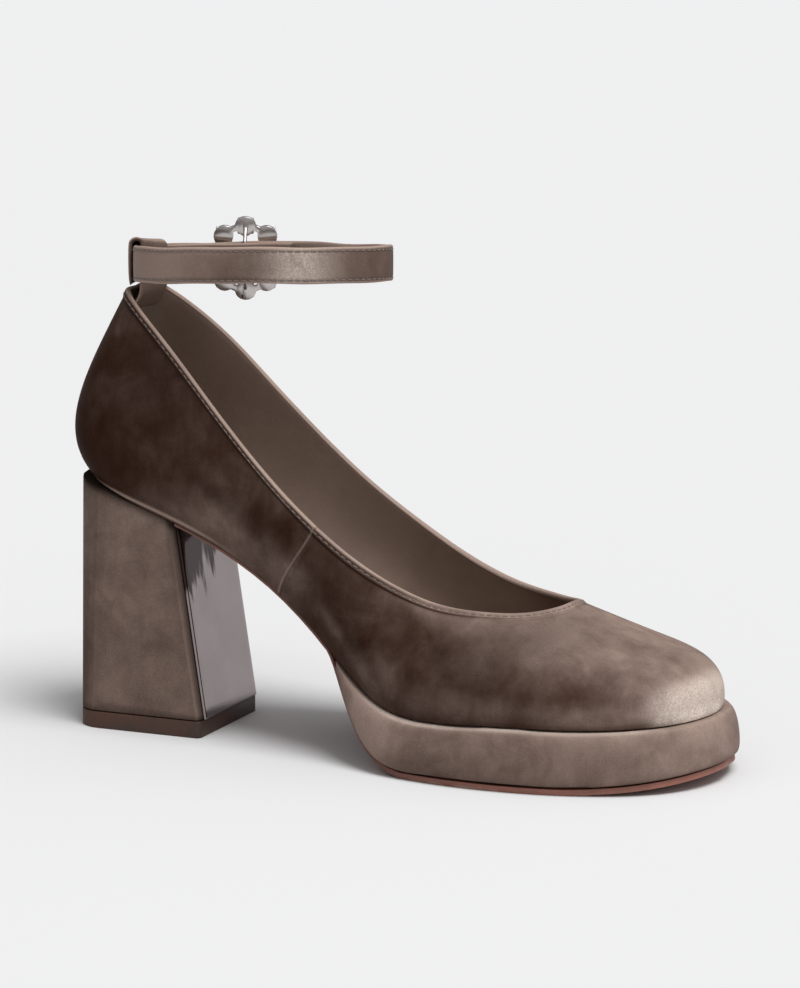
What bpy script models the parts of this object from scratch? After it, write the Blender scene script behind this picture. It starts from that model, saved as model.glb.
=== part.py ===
"""Left ankle strap pump with a platform and a covered block heel, empty and standing on the floor.

Sizes are in millimetres until make_solid turns them into metres.
x runs from the back of the counter to the toe, y to the outer side of the foot, z up from the floor.
"""

import math
from collections import namedtuple

import bmesh
import bpy
import numpy as np

MM = 0.001

# Driving sizes
LENGTH = 240.0
BALL_WIDTH = 86.0
HEEL_HEIGHT = 85.0
PLATFORM_HEIGHT = 20.0
COLLAR_HEIGHT = 149.8
GAP = 0.35

# Upper
WALL = 1.8
BINDING_WIDTH = 3.0
BINDING_RAISE = 0.45
BINDING_STEP = 0.3
RIM_ROUND = 0.9
COLUMNS = 88
INNER_ROWS = 8
OUTER_ROWS = 11
RIB_SAMPLES = 60
OUTLINE_SAMPLES = 600
OUTLINE_STEP = 0.5

# Outsole and platform
OUTSOLE_THICK = 2.0
OUTSOLE_EDGE = 3.6
WAIST_THICK = 0.9
WAIST_EDGE = -0.8
WAIST_START_X = 43.1
WAIST_END_X = 103.0
TREAD_START_X = 137.0
TREAD_END_X = 188.0
TOE_SPRING = 5.4
REAR_LEAVE = (7.0, -6.5)
REAR_ARRIVE = 22.8
LEAST_PLATFORM = 0.7
LEDGE_RAMP = 24.0
LEDGE_POWER = 0.5
RUNG_STEP = 6.0
TREAD_STEP = 4.5
SLOPE_STEP = 0.8
REAR_STEPS = 12
TOE_FROM_X = 212.0
TOE_RUNGS = 9
FRONT_HALF = 5.0
ACROSS = 5

# Insole
INSOLE_THICK = 2.4
INSOLE_INSET = 3.0
INSOLE_SEAT_X = 26.0
INSOLE_HEEL_RUNGS = 6
INSOLE_HEEL_HALF = 6.0

# Heel
HEEL_WIDTH = 45.6
HEEL_TOP_BACK_X = 3.4
HEEL_BACK_X = 4.8
HEEL_TOP_FRONT_X = 41.6
HEEL_FRONT_X = 52.2
HEEL_TOP_ROUND = 15.0
HEEL_ROUND = 9.0
HEEL_FRONT_BEVEL = 1.2
HEEL_LEVELS = 6
HEEL_TURN_STEPS = 6
HEEL_SIDE_STEPS = 4
TOP_LIFT_THICK = 5.8
PLATE_THICK = 1.4
PLATE_MARGIN = 1.3
PLATE_BEVEL = 0.5

# Ankle strap and its loop
STRAP_WIDTH = 12.4
STRAP_THICK = 1.6
STRAP_BEVEL = 0.4
ANKLE_LENGTH = 89.0
ANKLE_WIDTH = 68.0
ANKLE_BACK_X = 21.2
STRAP_BACK_Z = 157.4
STRAP_FRONT_RISE = 6.5
STRAP_INNER_RISE = 5.0
STRAP_STEPS = 96
BUCKLE_ANGLE = 62.0
UNDER_END_ANGLE = 22.0
TAIL_END_ANGLE = 20.0
LOOP_THICK = 1.5
LOOP_CLEARANCE = 0.6
LOOP_HEADROOM = 1.7
LOOP_FOOT = 0.7
LOOP_HALF_ANGLE = 26.0
LOOP_STEPS = 8
LOOP_TURN_STEPS = 6
LOOP_RADIUS = 24.6

# Buckle
RING_HALF_LENGTH = 10.4
RING_HALF_HEIGHT = 11.0
RING_THICK = 1.8
RING_BAND = 1.0
CUP_RADIUS = 3.4
RING_STEPS = 96
BAR_RADIUS = 0.7
BAR_SIDES = 8
STONE_COUNT = 8
STONE_RADIUS = 3.25
STONE_SIDES = 10

Height = namedtuple("Height", "along share")
Rib = namedtuple(
    "Rib",
    "foot_x foot_medial foot_lateral top_x top_medial top_lateral top_z lateral_dip rise flare reach drop",
)
Edge = namedtuple("Edge", "down out")
Facet = namedtuple("Facet", "height radius")
Fold = namedtuple("Fold", "x z")
Layer = namedtuple("Layer", "past on_strap on_bar")

# Height of the bottom of the last.
# along is a share of LENGTH, share runs from the platform to the heel height.
BOTTOM_LINE = (
    Height(0.02, 1.015),
    Height(0.18, 0.832),
    Height(0.35, 0.505),
    Height(0.44, 0.247),
    Height(0.51, 0.060),
    Height(0.58, -0.003),
    Height(0.70, 0.013),
    Height(0.80, 0.018),
    Height(0.98, 0.044),
)

# Ribs of the last from the back of the heel to the tip of the toe.
# x is a share of LENGTH, medial and lateral of BALL_WIDTH, top_z of COLLAR_HEIGHT; the rest are lengths.
RIBS = (
    Rib(0.021, 0.000, 0.000, 0.077, 0.000, 0.000, 1.000, 0.0, 15.0, 17.0, 13.0, 25.0),
    Rib(0.048, 0.180, 0.180, 0.090, 0.140, 0.140, 0.993, 0.0, 15.0, 14.0, 11.0, 25.0),
    Rib(0.104, 0.262, 0.262, 0.155, 0.227, 0.227, 0.910, 0.0, 16.0, 8.5, 5.0, 22.0),
    Rib(0.187, 0.273, 0.273, 0.233, 0.279, 0.279, 0.788, 0.5, 15.0, 5.5, 3.0, 18.0),
    Rib(0.275, 0.273, 0.291, 0.308, 0.314, 0.318, 0.668, 1.0, 13.0, 4.5, 2.0, 14.0),
    Rib(0.362, 0.302, 0.330, 0.383, 0.343, 0.348, 0.564, 1.5, 12.0, 4.5, 2.0, 11.0),
    Rib(0.446, 0.372, 0.384, 0.458, 0.366, 0.371, 0.481, 2.0, 12.0, 5.0, 2.5, 10.0),
    Rib(0.529, 0.459, 0.438, 0.529, 0.370, 0.376, 0.421, 3.0, 13.0, 5.0, 4.0, 8.0),
    Rib(0.617, 0.515, 0.468, 0.600, 0.355, 0.364, 0.381, 4.0, 14.0, 4.0, 7.0, 6.5),
    Rib(0.700, 0.529, 0.472, 0.656, 0.314, 0.334, 0.367, 4.5, 15.0, 3.5, 11.0, 6.0),
    Rib(0.783, 0.506, 0.436, 0.698, 0.252, 0.276, 0.362, 4.0, 15.5, 3.0, 17.0, 8.0),
    Rib(0.860, 0.442, 0.370, 0.724, 0.172, 0.192, 0.362, 2.5, 17.5, 2.5, 25.0, 11.6),
    Rib(0.922, 0.340, 0.260, 0.737, 0.088, 0.100, 0.363, 1.0, 19.5, 2.5, 32.5, 14.6),
    Rib(0.958, 0.196, 0.112, 0.741, 0.042, 0.048, 0.364, 0.3, 20.0, 2.5, 35.5, 15.6),
    Rib(0.968, 0.000, 0.000, 0.742, 0.000, 0.000, 0.364, 0.0, 20.0, 2.5, 36.5, 15.6),
)

# Side of the covered platform.
# down is a share of its height, out a distance beyond the bottom of the upper.
PLATFORM_EDGE = (
    Edge(0.0, 1.4),
    Edge(0.05, 2.7),
    Edge(0.16, 4.0),
    Edge(0.45, 5.2),
    Edge(0.8, 5.6),
    Edge(0.95, 5.3),
    Edge(1.0, 4.6),
)

STONE_CUT = (
    Facet(0.0, 0.9),
    Facet(0.7, 1.0),
    Facet(1.9, 0.62),
)

# How the end of the strap lies, by degrees past the buckle.
# It rests on the layer below it, on the bar, or on the ankle.
STRAP_LAYERS = (
    Layer(-20.0, 1.0, 0.0),
    Layer(-6.0, 0.0, 1.0),
    Layer(20.0, 0.0, 1.0),
    Layer(50.0, 0.0, 0.0),
)

# Middle of the loop's band inside the counter.
# x is measured from the back of the ankle, z from the top of the collar.
LOOP_INSIDE = (
    Fold(1.9, 0.2),
    Fold(1.2, -2.4),
    Fold(-0.6, -5.2),
    Fold(-2.9, -8.6),
)


class Spline:
    """Smooth cubic through rows of values, with natural ends or closed over a period."""

    def __init__(self, knots, rows, period=None):
        self.knots = np.array(knots, float)
        self.rows = np.array(rows, float).reshape(len(knots), -1)
        self.period = period
        if period:
            self.knots = np.append(self.knots, self.knots[0] + period)
            self.rows = np.vstack([self.rows, self.rows[:1]])
        self.bends = self._solve_bends()

    def _solve_bends(self):
        count = len(self.knots)
        step = np.diff(self.knots)
        slope = np.diff(self.rows, axis=0) / step[:, None]
        matrix = np.eye(count)
        right = np.zeros_like(self.rows)
        for i in range(1, count - 1):
            matrix[i, i - 1 : i + 2] = step[i - 1], 2 * (step[i - 1] + step[i]), step[i]
            right[i] = 6 * (slope[i] - slope[i - 1])
        if self.period:
            matrix[0, -1] = -1.0
            matrix[-1] = 0.0
            matrix[-1, [0, 1]] = 2 * (step[0] + step[-1]), step[0]
            matrix[-1, -2] = step[-1]
            right[-1] = 6 * (slope[0] - slope[-1])
        return np.linalg.solve(matrix, right)

    def at(self, where):
        where = np.atleast_1d(np.asarray(where, float))
        if self.period:
            where = self.knots[0] + np.mod(where - self.knots[0], self.period)
        i = np.clip(np.searchsorted(self.knots, where, side="right") - 1, 0, len(self.knots) - 2)
        step = (self.knots[i + 1] - self.knots[i])[:, None]
        b = (where - self.knots[i])[:, None] / step
        a = 1.0 - b
        curve = (a**3 - a) * self.bends[i] + (b**3 - b) * self.bends[i + 1]
        return a * self.rows[i] + b * self.rows[i + 1] + curve * step**2 / 6.0


def mix(a, b, share):
    return a + (b - a) * share


def unit(vectors):
    return vectors / np.linalg.norm(vectors, axis=-1, keepdims=True)


def bezier(points, share):
    """Point of a cubic with four control points, for each share."""
    t = np.asarray(share, float)[..., None]
    a, b, c, d = points
    return (1 - t) ** 3 * a + 3 * t * (1 - t) ** 2 * b + 3 * t**2 * (1 - t) * c + t**3 * d


def make_bottom_spline():
    pitch = HEEL_HEIGHT - PLATFORM_HEIGHT
    knots = [row.along * LENGTH for row in BOTTOM_LINE]
    return Spline(knots, [PLATFORM_HEIGHT + row.share * pitch for row in BOTTOM_LINE])


BOTTOM = make_bottom_spline()


def bottom_height(x):
    """Height of the bottom of the last at x."""
    return BOTTOM.at(np.ravel(x))[:, 0].reshape(np.shape(x))


def rib_ring():
    """One row for each rib around the last: foot and topline points, then the four handle lengths."""
    rows = []
    lateral = [(row, 1.0) for row in RIBS[-2:0:-1]]
    for row, side in [(row, -1.0) for row in RIBS] + lateral:
        foot_y = (row.foot_medial if side < 0 else row.foot_lateral) * BALL_WIDTH * side
        top_y = (row.top_medial if side < 0 else row.top_lateral) * BALL_WIDTH * side
        foot = [row.foot_x * LENGTH, foot_y]
        dip = row.lateral_dip if side > 0 else 0.0
        top = [row.top_x * LENGTH, top_y, row.top_z * COLLAR_HEIGHT - dip]
        rows.append(foot + top + [row.rise, row.flare, row.reach, row.drop])
    return np.array(rows)


def make_last_spline():
    rows = rib_ring()
    steps = np.linalg.norm(np.diff(rows[:, :2], axis=0, append=rows[:1, :2]), axis=1)
    knots = np.concatenate([[0.0], np.cumsum(steps)[:-1]])
    return Spline(knots, rows, period=float(steps.sum()))


LAST = make_last_spline()
TOE_AT = float(LAST.knots[len(RIBS) - 1])
AROUND = float(LAST.period)


def outward(at, columns):
    """Level unit vectors that point out of the ring of points held in two columns of the last."""
    along = LAST.at(at + OUTLINE_STEP)[:, columns] - LAST.at(at - OUTLINE_STEP)[:, columns]
    return unit(np.stack([along[:, 1], -along[:, 0]], axis=1))


def rib_curves(at):
    """Points along the rib at each place around the last, evenly spaced from the foot to the topline."""
    rows = LAST.at(at)
    foot = np.column_stack([rows[:, :2], bottom_height(rows[:, 0])])
    top = rows[:, 2:5]
    rise, flare, reach, drop = rows[:, 5:].T
    up = np.array([0.0, 0.0, 1.0])
    foot_out = np.column_stack([outward(at, [0, 1]), np.zeros(len(at))])
    top_out = np.column_stack([outward(at, [2, 3]), np.zeros(len(at))])
    low = foot + foot_out * flare[:, None] + up * rise[:, None]
    high = top + top_out * reach[:, None] - up * drop[:, None]
    share = np.linspace(0.0, 1.0, RIB_SAMPLES)
    controls = [part[:, None, :] for part in (foot, low, high, top)]
    curves = bezier(controls, np.tile(share, (len(at), 1)))
    even = np.empty_like(curves)
    lengths = np.empty(len(at))
    for i, curve in enumerate(curves):
        run = np.concatenate([[0.0], np.cumsum(np.linalg.norm(np.diff(curve, axis=0), axis=1))])
        lengths[i] = run[-1]
        for axis in range(3):
            even[i, :, axis] = np.interp(share * run[-1], run, curve[:, axis])
    return even, lengths


def last_surface():
    """Points, outward normals and rib lengths of the last's surface on an even grid."""
    at = np.arange(COLUMNS) * AROUND / COLUMNS
    points, lengths = rib_curves(at)
    around = np.roll(points, -1, axis=0) - np.roll(points, 1, axis=0)
    upward = np.gradient(points, axis=1)
    return points, unit(np.cross(around, upward)), lengths


def on_ribs(grid, share):
    """Values of a rib grid at one share of the height for each rib."""
    place = np.clip(share, 0.0, 1.0) * (RIB_SAMPLES - 1)
    low = np.minimum(place.astype(int), RIB_SAMPLES - 2)
    part = (place - low)[:, None]
    column = np.arange(len(grid))
    return mix(grid[column, low], grid[column, low + 1], part)


def ring_at(points, normals, share, raise_by):
    return on_ribs(points, share) + unit(on_ribs(normals, share)) * raise_by


def make_solid(name, verts, faces, smooth_angle=40.0):
    """Closed mesh object in metres, facing out, smooth apart from its sharp edges."""
    mesh = bpy.data.meshes.new(name)
    shape = bmesh.new()
    made = [shape.verts.new(np.asarray(point) * MM) for point in verts]
    for face in faces:
        shape.faces.new([made[i] for i in face])
    bmesh.ops.recalc_face_normals(shape, faces=shape.faces)
    bmesh.ops.triangulate(shape, faces=[face for face in shape.faces if len(face.verts) > 4])
    for face in shape.faces:
        face.smooth = True
    for edge in shape.edges:
        edge.smooth = edge.calc_face_angle(0.0) < math.radians(smooth_angle)
    shape.to_mesh(mesh)
    shape.free()
    made_object = bpy.data.objects.new(name, mesh)
    bpy.context.scene.collection.objects.link(made_object)
    return made_object


def loft(name, rings, closed, smooth_angle=40.0):
    """Solid through equal rings of points: closed on itself, or with a cap at each end."""
    count = len(rings[0])
    verts = np.concatenate(rings)
    last = len(rings) if closed else len(rings) - 1
    faces = []
    for r in range(last):
        here = r * count
        there = (r + 1) % len(rings) * count
        for i in range(count):
            j = (i + 1) % count
            faces.append((here + i, here + j, there + j, there + i))
    if not closed:
        faces.append(range(count))
        faces.append(range(last * count, (last + 1) * count))
    return make_solid(name, verts, faces, smooth_angle)


def rim_walk(rows, columns):
    """Index of each outer vertex of a grid, in order around it."""
    grid = np.arange(rows * columns).reshape(rows, columns)
    return np.concatenate([grid[:-1, 0], grid[-1, :-1], grid[:0:-1, -1], grid[0, :0:-1]])


def slab(name, top, sides, bottom, smooth_angle=40.0):
    """Solid between a top and a bottom grid, with rings of points down its side."""
    rows, columns = top.shape[:2]
    size = rows * columns
    walk = rim_walk(rows, columns)
    verts = np.concatenate([top.reshape(-1, 3), bottom.reshape(-1, 3)] + list(sides))
    faces = []
    for start in (0, size):
        for r in range(rows - 1):
            for c in range(columns - 1):
                i = start + r * columns + c
                faces.append((i, i + 1, i + columns + 1, i + columns))
    first_side = 2 * size + np.arange(len(sides) * len(walk)).reshape(-1, len(walk))
    loops = [walk] + list(first_side) + [size + walk]
    for above, below in zip(loops, loops[1:]):
        for i in range(len(walk)):
            j = (i + 1) % len(walk)
            faces.append((above[i], above[j], below[j], below[i]))
    return make_solid(name, verts, faces, smooth_angle)


def make_upper():
    """Hollow wall over the last, open at the collar and underneath, with a raised binding at its top."""
    points, normals, lengths = last_surface()
    rings = []
    binding = 1.0 - BINDING_WIDTH / lengths
    step = 1.0 - (BINDING_WIDTH + BINDING_STEP) / lengths
    for share in np.linspace(0.0, 1.0, OUTER_ROWS):
        rings.append(ring_at(points, normals, share * step, 0.0))
    rings.append(ring_at(points, normals, binding, BINDING_RAISE))
    rings.append(ring_at(points, normals, 1.0 - RIM_ROUND / lengths, BINDING_RAISE))
    rings.append(ring_at(points, normals, np.ones(COLUMNS), 0.0))
    for share in np.linspace(1.0, 0.0, INNER_ROWS):
        rings.append(ring_at(points, normals, np.full(COLUMNS, share), -WALL))
    rings[-1][:, 2] = bottom_height(rings[-1][:, 0])
    return loft("upper", rings, closed=True)


def outline_at(x, side):
    """Place around the last where the foot outline of one side reaches x."""
    span = (0.0, TOE_AT) if side < 0 else (AROUND, TOE_AT)
    places = np.linspace(*span, OUTLINE_SAMPLES)
    return np.interp(x, LAST.at(places)[:, 0], places)


def ladder(xs, heel_steps=0, heel_half=0.0):
    """Places around the last for the two ends of each rung, from the heel to the toe."""
    ends = []
    for side in (-1.0, 1.0):
        places = outline_at(np.asarray(xs), side)
        toe_start = outline_at(TOE_FROM_X, side)
        toe = np.linspace(toe_start, TOE_AT + side * FRONT_HALF, TOE_RUNGS + 1)
        heel = []
        if heel_steps:
            heel_at = heel_half if side < 0 else AROUND - heel_half
            heel = np.linspace(heel_at, places[0], heel_steps + 1)[:-1]
        ends.append(np.concatenate([heel, places, toe]))
    return ends


def rungs(ends, out):
    """Plan grid across the foot outline, moved out by a distance for each rung."""
    out = np.broadcast_to(out, len(ends[0]))[:, None]
    edges = [LAST.at(at)[:, :2] + outward(at, [0, 1]) * out for at in ends]
    share = np.linspace(0.0, 1.0, ACROSS)[None, :, None]
    return mix(edges[0][:, None, :], edges[1][:, None, :], share)


def sole_line():
    """Places along the top of the outsole, x and z, from the heel to past the toe."""
    waist_x = np.arange(WAIST_START_X, WAIST_END_X, RUNG_STEP)
    waist = np.column_stack([waist_x, bottom_height(waist_x) - GAP])
    leave = np.array([WAIST_END_X, float(bottom_height(np.array([WAIST_END_X]))[0]) - GAP])
    arrive = np.array([TREAD_START_X, OUTSOLE_THICK])
    handles = [leave, leave + REAR_LEAVE, arrive - (REAR_ARRIVE, 0.0), arrive]
    rear = bezier(handles, np.linspace(0.0, 1.0, REAR_STEPS + 1))
    tread_x = np.arange(TREAD_START_X, LENGTH + 2 * RUNG_STEP, TREAD_STEP)[1:]
    past = np.clip((tread_x - TREAD_END_X) / (LENGTH - TREAD_END_X), 0.0, 2.0)
    tread = np.column_stack([tread_x, OUTSOLE_THICK + TOE_SPRING * past**2])
    return np.vstack([waist, rear, tread])


SOLE_LINE = sole_line()


def sole_top(x):
    return np.interp(x, SOLE_LINE[:, 0], SOLE_LINE[:, 1])


def sole_normal(x):
    """Unit vectors, x and z, square to the top of the outsole."""
    rise = (sole_top(x + SLOPE_STEP) - sole_top(x - SLOPE_STEP)) / (2 * SLOPE_STEP)
    return unit(np.stack([-rise, np.ones_like(rise)], axis=-1))


def under_surface(plan, above):
    """Grid of points at a distance above the top of the outsole, measured square to it."""
    square = sole_normal(plan[..., 0])
    x = plan[..., 0] + square[..., 0] * above
    z = sole_top(plan[..., 0]) + square[..., 1] * above
    return np.stack([x, plan[..., 1], z], axis=-1)


def sole_ladder(first_x):
    xs = SOLE_LINE[:, 0]
    return ladder(xs[(xs >= first_x) & (xs < TOE_FROM_X - RUNG_STEP / 3)])


def make_outsole():
    """Thin sole from the front of the heel, down behind the platform and under the tread to the toe."""
    ends = sole_ladder(WAIST_START_X)
    x = LAST.at(ends[0])[:, 0]
    share = np.clip((x - WAIST_END_X) / (TREAD_START_X - WAIST_END_X), 0.0, 1.0)
    plan = rungs(ends, mix(WAIST_EDGE, OUTSOLE_EDGE, share))
    thick = mix(WAIST_THICK, OUTSOLE_THICK, share**2)
    top = under_surface(plan, 0.0)
    bottom = under_surface(plan, -thick[:, None])
    return slab("outsole", top, [], bottom)


def make_platform():
    """Covered wedge between the outsole and the bottom of the upper, standing proud of it as a ledge."""
    ends = sole_ladder(WAIST_END_X)
    x = LAST.at(ends[0])[:, 0]
    thick = bottom_height(x) - sole_top(x) - 2 * GAP
    first = int(np.argmax(thick > LEAST_PLATFORM))
    ends = [at[first:] for at in ends]
    ledge = np.clip((x[first:] - x[first]) / LEDGE_RAMP, 0.0, 1.0) ** LEDGE_POWER

    def grid(edge):
        plan = rungs(ends, edge.out * ledge)
        high = np.dstack([plan, bottom_height(plan[..., 0]) - GAP])
        return mix(high, under_surface(plan, GAP), edge.down)

    grids = [grid(edge) for edge in PLATFORM_EDGE]
    walk = rim_walk(*grids[0].shape[:2])
    sides = [layer.reshape(-1, 3)[walk] for layer in grids[1:-1]]
    return slab("platform", grids[0], sides, grids[-1], 50.0)


def make_insole():
    """Sock sheet that lies inside the foot of the upper."""
    xs = np.arange(INSOLE_SEAT_X, TOE_FROM_X - RUNG_STEP / 2, RUNG_STEP)
    ends = ladder(xs, INSOLE_HEEL_RUNGS, INSOLE_HEEL_HALF)
    plan = rungs(ends, -INSOLE_INSET)
    low = np.dstack([plan, bottom_height(plan[..., 0])])
    high = low + (0.0, 0.0, INSOLE_THICK)
    return slab("insole", high, [], low)


def heel_plan(level):
    """Plan grid of the heel at a level from 0 at the floor to 1 at the seat."""
    back = mix(HEEL_BACK_X, HEEL_TOP_BACK_X, level)
    front = mix(HEEL_FRONT_X, HEEL_TOP_FRONT_X, level)
    radius = mix(HEEL_ROUND, HEEL_TOP_ROUND, level)
    half = HEEL_WIDTH / 2
    turn = np.radians(np.linspace(0.0, 90.0, HEEL_TURN_STEPS + 1))
    x = back + radius * (1.0 - np.cos(turn))
    y = half - radius + radius * np.sin(turn)
    straight = np.linspace(back + radius, front - HEEL_FRONT_BEVEL, HEEL_SIDE_STEPS + 1)[1:]
    x = np.concatenate([x, straight, [front]])
    y = np.concatenate([y, np.full(len(straight), half), [half - HEEL_FRONT_BEVEL]])
    across = np.linspace(-1.0, 1.0, ACROSS)
    return np.dstack([np.repeat(x[:, None], ACROSS, axis=1), y[:, None] * across[None, :]])


def make_heel():
    """Covered block under the seat, its front leaning forward to the floor."""
    levels = np.linspace(1.0, 0.0, HEEL_LEVELS)
    grids = []
    for level in levels:
        plan = heel_plan(level)
        high = bottom_height(plan[..., 0]) - GAP
        low = np.full_like(high, TOP_LIFT_THICK + GAP)
        grids.append(np.dstack([plan, mix(low, high, level)]))
    walk = rim_walk(*grids[0].shape[:2])
    sides = [layer.reshape(-1, 3)[walk] for layer in grids[1:-1]]
    return slab("heel_block", grids[0], sides, grids[-1])


def make_top_lift():
    """Wearing piece under the heel."""
    plan = heel_plan(0.0)
    top = np.dstack([plan, np.full(plan.shape[:2], TOP_LIFT_THICK)])
    bottom = np.dstack([plan, np.zeros(plan.shape[:2])])
    return slab("top_lift", top, [], bottom)


def make_heel_plate():
    """Polished plate on the front of the heel, from the top lift to the outsole."""
    low_z = TOP_LIFT_THICK + GAP
    seat_z = float(bottom_height(np.array([HEEL_TOP_FRONT_X]))[0]) - GAP
    high_z = seat_z - WAIST_THICK - 3 * GAP
    half = HEEL_WIDTH / 2 - HEEL_FRONT_BEVEL - PLATE_MARGIN
    rings = []
    for out, inset in ((GAP, 0.0), (PLATE_THICK - PLATE_BEVEL, 0.0), (PLATE_THICK, PLATE_BEVEL)):
        ring = []
        for y, z in ((-half, low_z), (half, low_z), (half, high_z), (-half, high_z)):
            z = mix(z, (low_z + high_z) / 2, inset / (high_z - low_z) * 2)
            level = (z - low_z) / (seat_z - low_z)
            x = mix(HEEL_FRONT_X, HEEL_TOP_FRONT_X, level) + out
            ring.append((x, y - math.copysign(inset, y), z))
        rings.append(np.array(ring))
    return loft("heel_plate", rings, closed=False, smooth_angle=20.0)


def ankle_point(angle, out):
    """Plan point on the ankle loop, by its turn from the back to the outer side, moved out."""
    a = ANKLE_LENGTH / 2
    b = ANKLE_WIDTH / 2
    turn = np.radians(angle)
    square = unit(np.stack([-np.cos(turn) * b, np.sin(turn) * a], axis=-1))
    place = np.stack([ANKLE_BACK_X + a - a * np.cos(turn), b * np.sin(turn)], axis=-1)
    return place + square * np.asarray(out)[..., None], square


def strap_height(angle):
    """Height of the middle of the strap, which climbs to the front and to the inner side of the ankle."""
    turn = np.radians(angle)
    return STRAP_BACK_Z + STRAP_FRONT_RISE * (1.0 - np.cos(turn)) / 2 - STRAP_INNER_RISE * np.sin(turn)


OUTER_LAYER = STRAP_THICK + GAP
BAR_OUT = STRAP_THICK / 2 + GAP + BAR_RADIUS
OVER_BAR = BAR_OUT + BAR_RADIUS + GAP + STRAP_THICK / 2


def make_strap():
    """One strap from under the buckle, through the loop, around the ankle and over the bar to its tail."""
    start = BUCKLE_ANGLE + UNDER_END_ANGLE
    end = TAIL_END_ANGLE - 360.0
    angle = np.linspace(start, end, STRAP_STEPS)
    past = angle + 360.0 - BUCKLE_ANGLE
    heights = [row.on_strap * OUTER_LAYER + row.on_bar * OVER_BAR for row in STRAP_LAYERS]
    out = np.interp(past, [row.past for row in STRAP_LAYERS], heights)
    place, square = ankle_point(angle, out)
    w = STRAP_WIDTH / 2
    t = STRAP_THICK / 2
    c = STRAP_BEVEL
    upper_half = [(w - c, t), (w, t - c), (w, c - t), (w - c, -t)]
    section = upper_half + [(-up_by, -out_by) for up_by, out_by in upper_half]
    rings = []
    for plan, side, z in zip(place, square, strap_height(angle)):
        rings.append(np.array([(*(plan + side * out_by), z + up_by) for up_by, out_by in section]))
    return loft("ankle_strap", rings, closed=False)


def make_loop():
    """Band folded over the strap at the back, standing on the counter and sewn down inside it."""
    away = STRAP_THICK / 2 + LOOP_CLEARANCE + LOOP_THICK / 2
    turn_z = STRAP_BACK_Z + STRAP_WIDTH / 2 + LOOP_HEADROOM - away
    low = Fold(ANKLE_BACK_X - away, COLLAR_HEIGHT + LOOP_FOOT)
    path = [(low.x, mix(low.z, turn_z, share)) for share in (0.0, 0.5)]
    for turn in np.radians(np.linspace(180.0, 0.0, LOOP_TURN_STEPS + 1)):
        path.append((ANKLE_BACK_X + away * math.cos(turn), turn_z + away * math.sin(turn)))
    path += [(ANKLE_BACK_X + fold.x, COLLAR_HEIGHT + fold.z) for fold in LOOP_INSIDE]
    path = np.array(path)
    along = unit(np.gradient(path, axis=0))
    square = np.column_stack([-along[:, 1], along[:, 0]]) * LOOP_THICK / 2
    outline = np.vstack([path + square, (path - square)[::-1]])
    axis_x = ANKLE_BACK_X + LOOP_RADIUS
    rings = []
    for turn in np.radians(np.linspace(-LOOP_HALF_ANGLE, LOOP_HALF_ANGLE, LOOP_STEPS + 1)):
        radius = axis_x - outline[:, 0]
        x = axis_x - radius * math.cos(turn)
        climb = strap_height(math.degrees(turn)) - STRAP_BACK_Z
        share = np.clip((outline[:, 1] - COLLAR_HEIGHT) / (STRAP_BACK_Z - COLLAR_HEIGHT), 0.0, 1.0)
        rings.append(np.column_stack([x, radius * math.sin(turn), outline[:, 1] + climb * share]))
    return loft("back_loop", rings, closed=False)


def buckle_frame_vectors():
    """Centre of the buckle's plane and its along, up and outward directions."""
    angle = np.array([BUCKLE_ANGLE])
    out = OVER_BAR + STRAP_THICK / 2 + GAP
    place, square = ankle_point(angle, np.array([out]))
    centre = np.array([*place[0], float(strap_height(angle)[0])])
    outwards = np.array([*square[0], 0.0])
    up = np.array([0.0, 0.0, 1.0])
    return centre, np.cross(up, outwards), up, outwards


def stone_places():
    """Turn and plane position of each stone around the ring."""
    turns = np.arange(STONE_COUNT) * 2 * math.pi / STONE_COUNT
    return turns, np.column_stack([RING_HALF_LENGTH * np.cos(turns), RING_HALF_HEIGHT * np.sin(turns)])


def make_buckle():
    """Scalloped ring with a round seat under each stone and a bowed bar across its middle."""
    centre, along, up, outwards = buckle_frame_vectors()
    turns = np.arange(RING_STEPS) * 2 * math.pi / RING_STEPS
    middle = np.column_stack([RING_HALF_LENGTH * np.cos(turns), RING_HALF_HEIGHT * np.sin(turns)])
    square = unit(np.column_stack([np.cos(turns) / RING_HALF_LENGTH, np.sin(turns) / RING_HALF_HEIGHT]))
    seats = stone_places()[1]
    near = np.min(np.linalg.norm(middle[:, None] - seats[None], axis=2), axis=1)
    half = np.maximum(np.sqrt(np.maximum(CUP_RADIUS**2 - near**2, 0.0)), RING_BAND)
    rings = []
    for side, level in ((1, 0.0), (1, RING_THICK), (-1, RING_THICK), (-1, 0.0)):
        flat = middle + square * (half * side)[:, None]
        rings.append(centre + flat[:, :1] * along + flat[:, 1:] * up + outwards * level)
    frame = loft("buckle_frame", rings, closed=True, smooth_angle=30.0)
    bar_rings = []
    top = RING_HALF_HEIGHT
    sunk = BAR_OUT - (OVER_BAR + STRAP_THICK / 2 + GAP)
    raised = RING_THICK / 2
    flat_end = STRAP_WIDTH / 2 + GAP
    bend = ((-top, raised), (-flat_end, sunk), (flat_end, sunk), (top, raised))
    for height, level in bend:
        ring = []
        for turn in np.arange(BAR_SIDES) * 2 * math.pi / BAR_SIDES:
            spot = along * math.cos(turn) + outwards * math.sin(turn)
            ring.append(centre + up * height + outwards * level + spot * BAR_RADIUS)
        bar_rings.append(np.array(ring))
    bar = loft("buckle_bar_guide", bar_rings, closed=False)
    bar.hide_render = True
    bar.display_type = "WIRE"
    join = frame.modifiers.new("bar", "BOOLEAN")
    join.operation = "UNION"
    join.solver = "EXACT"
    join.object = bar
    return frame, bar


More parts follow.
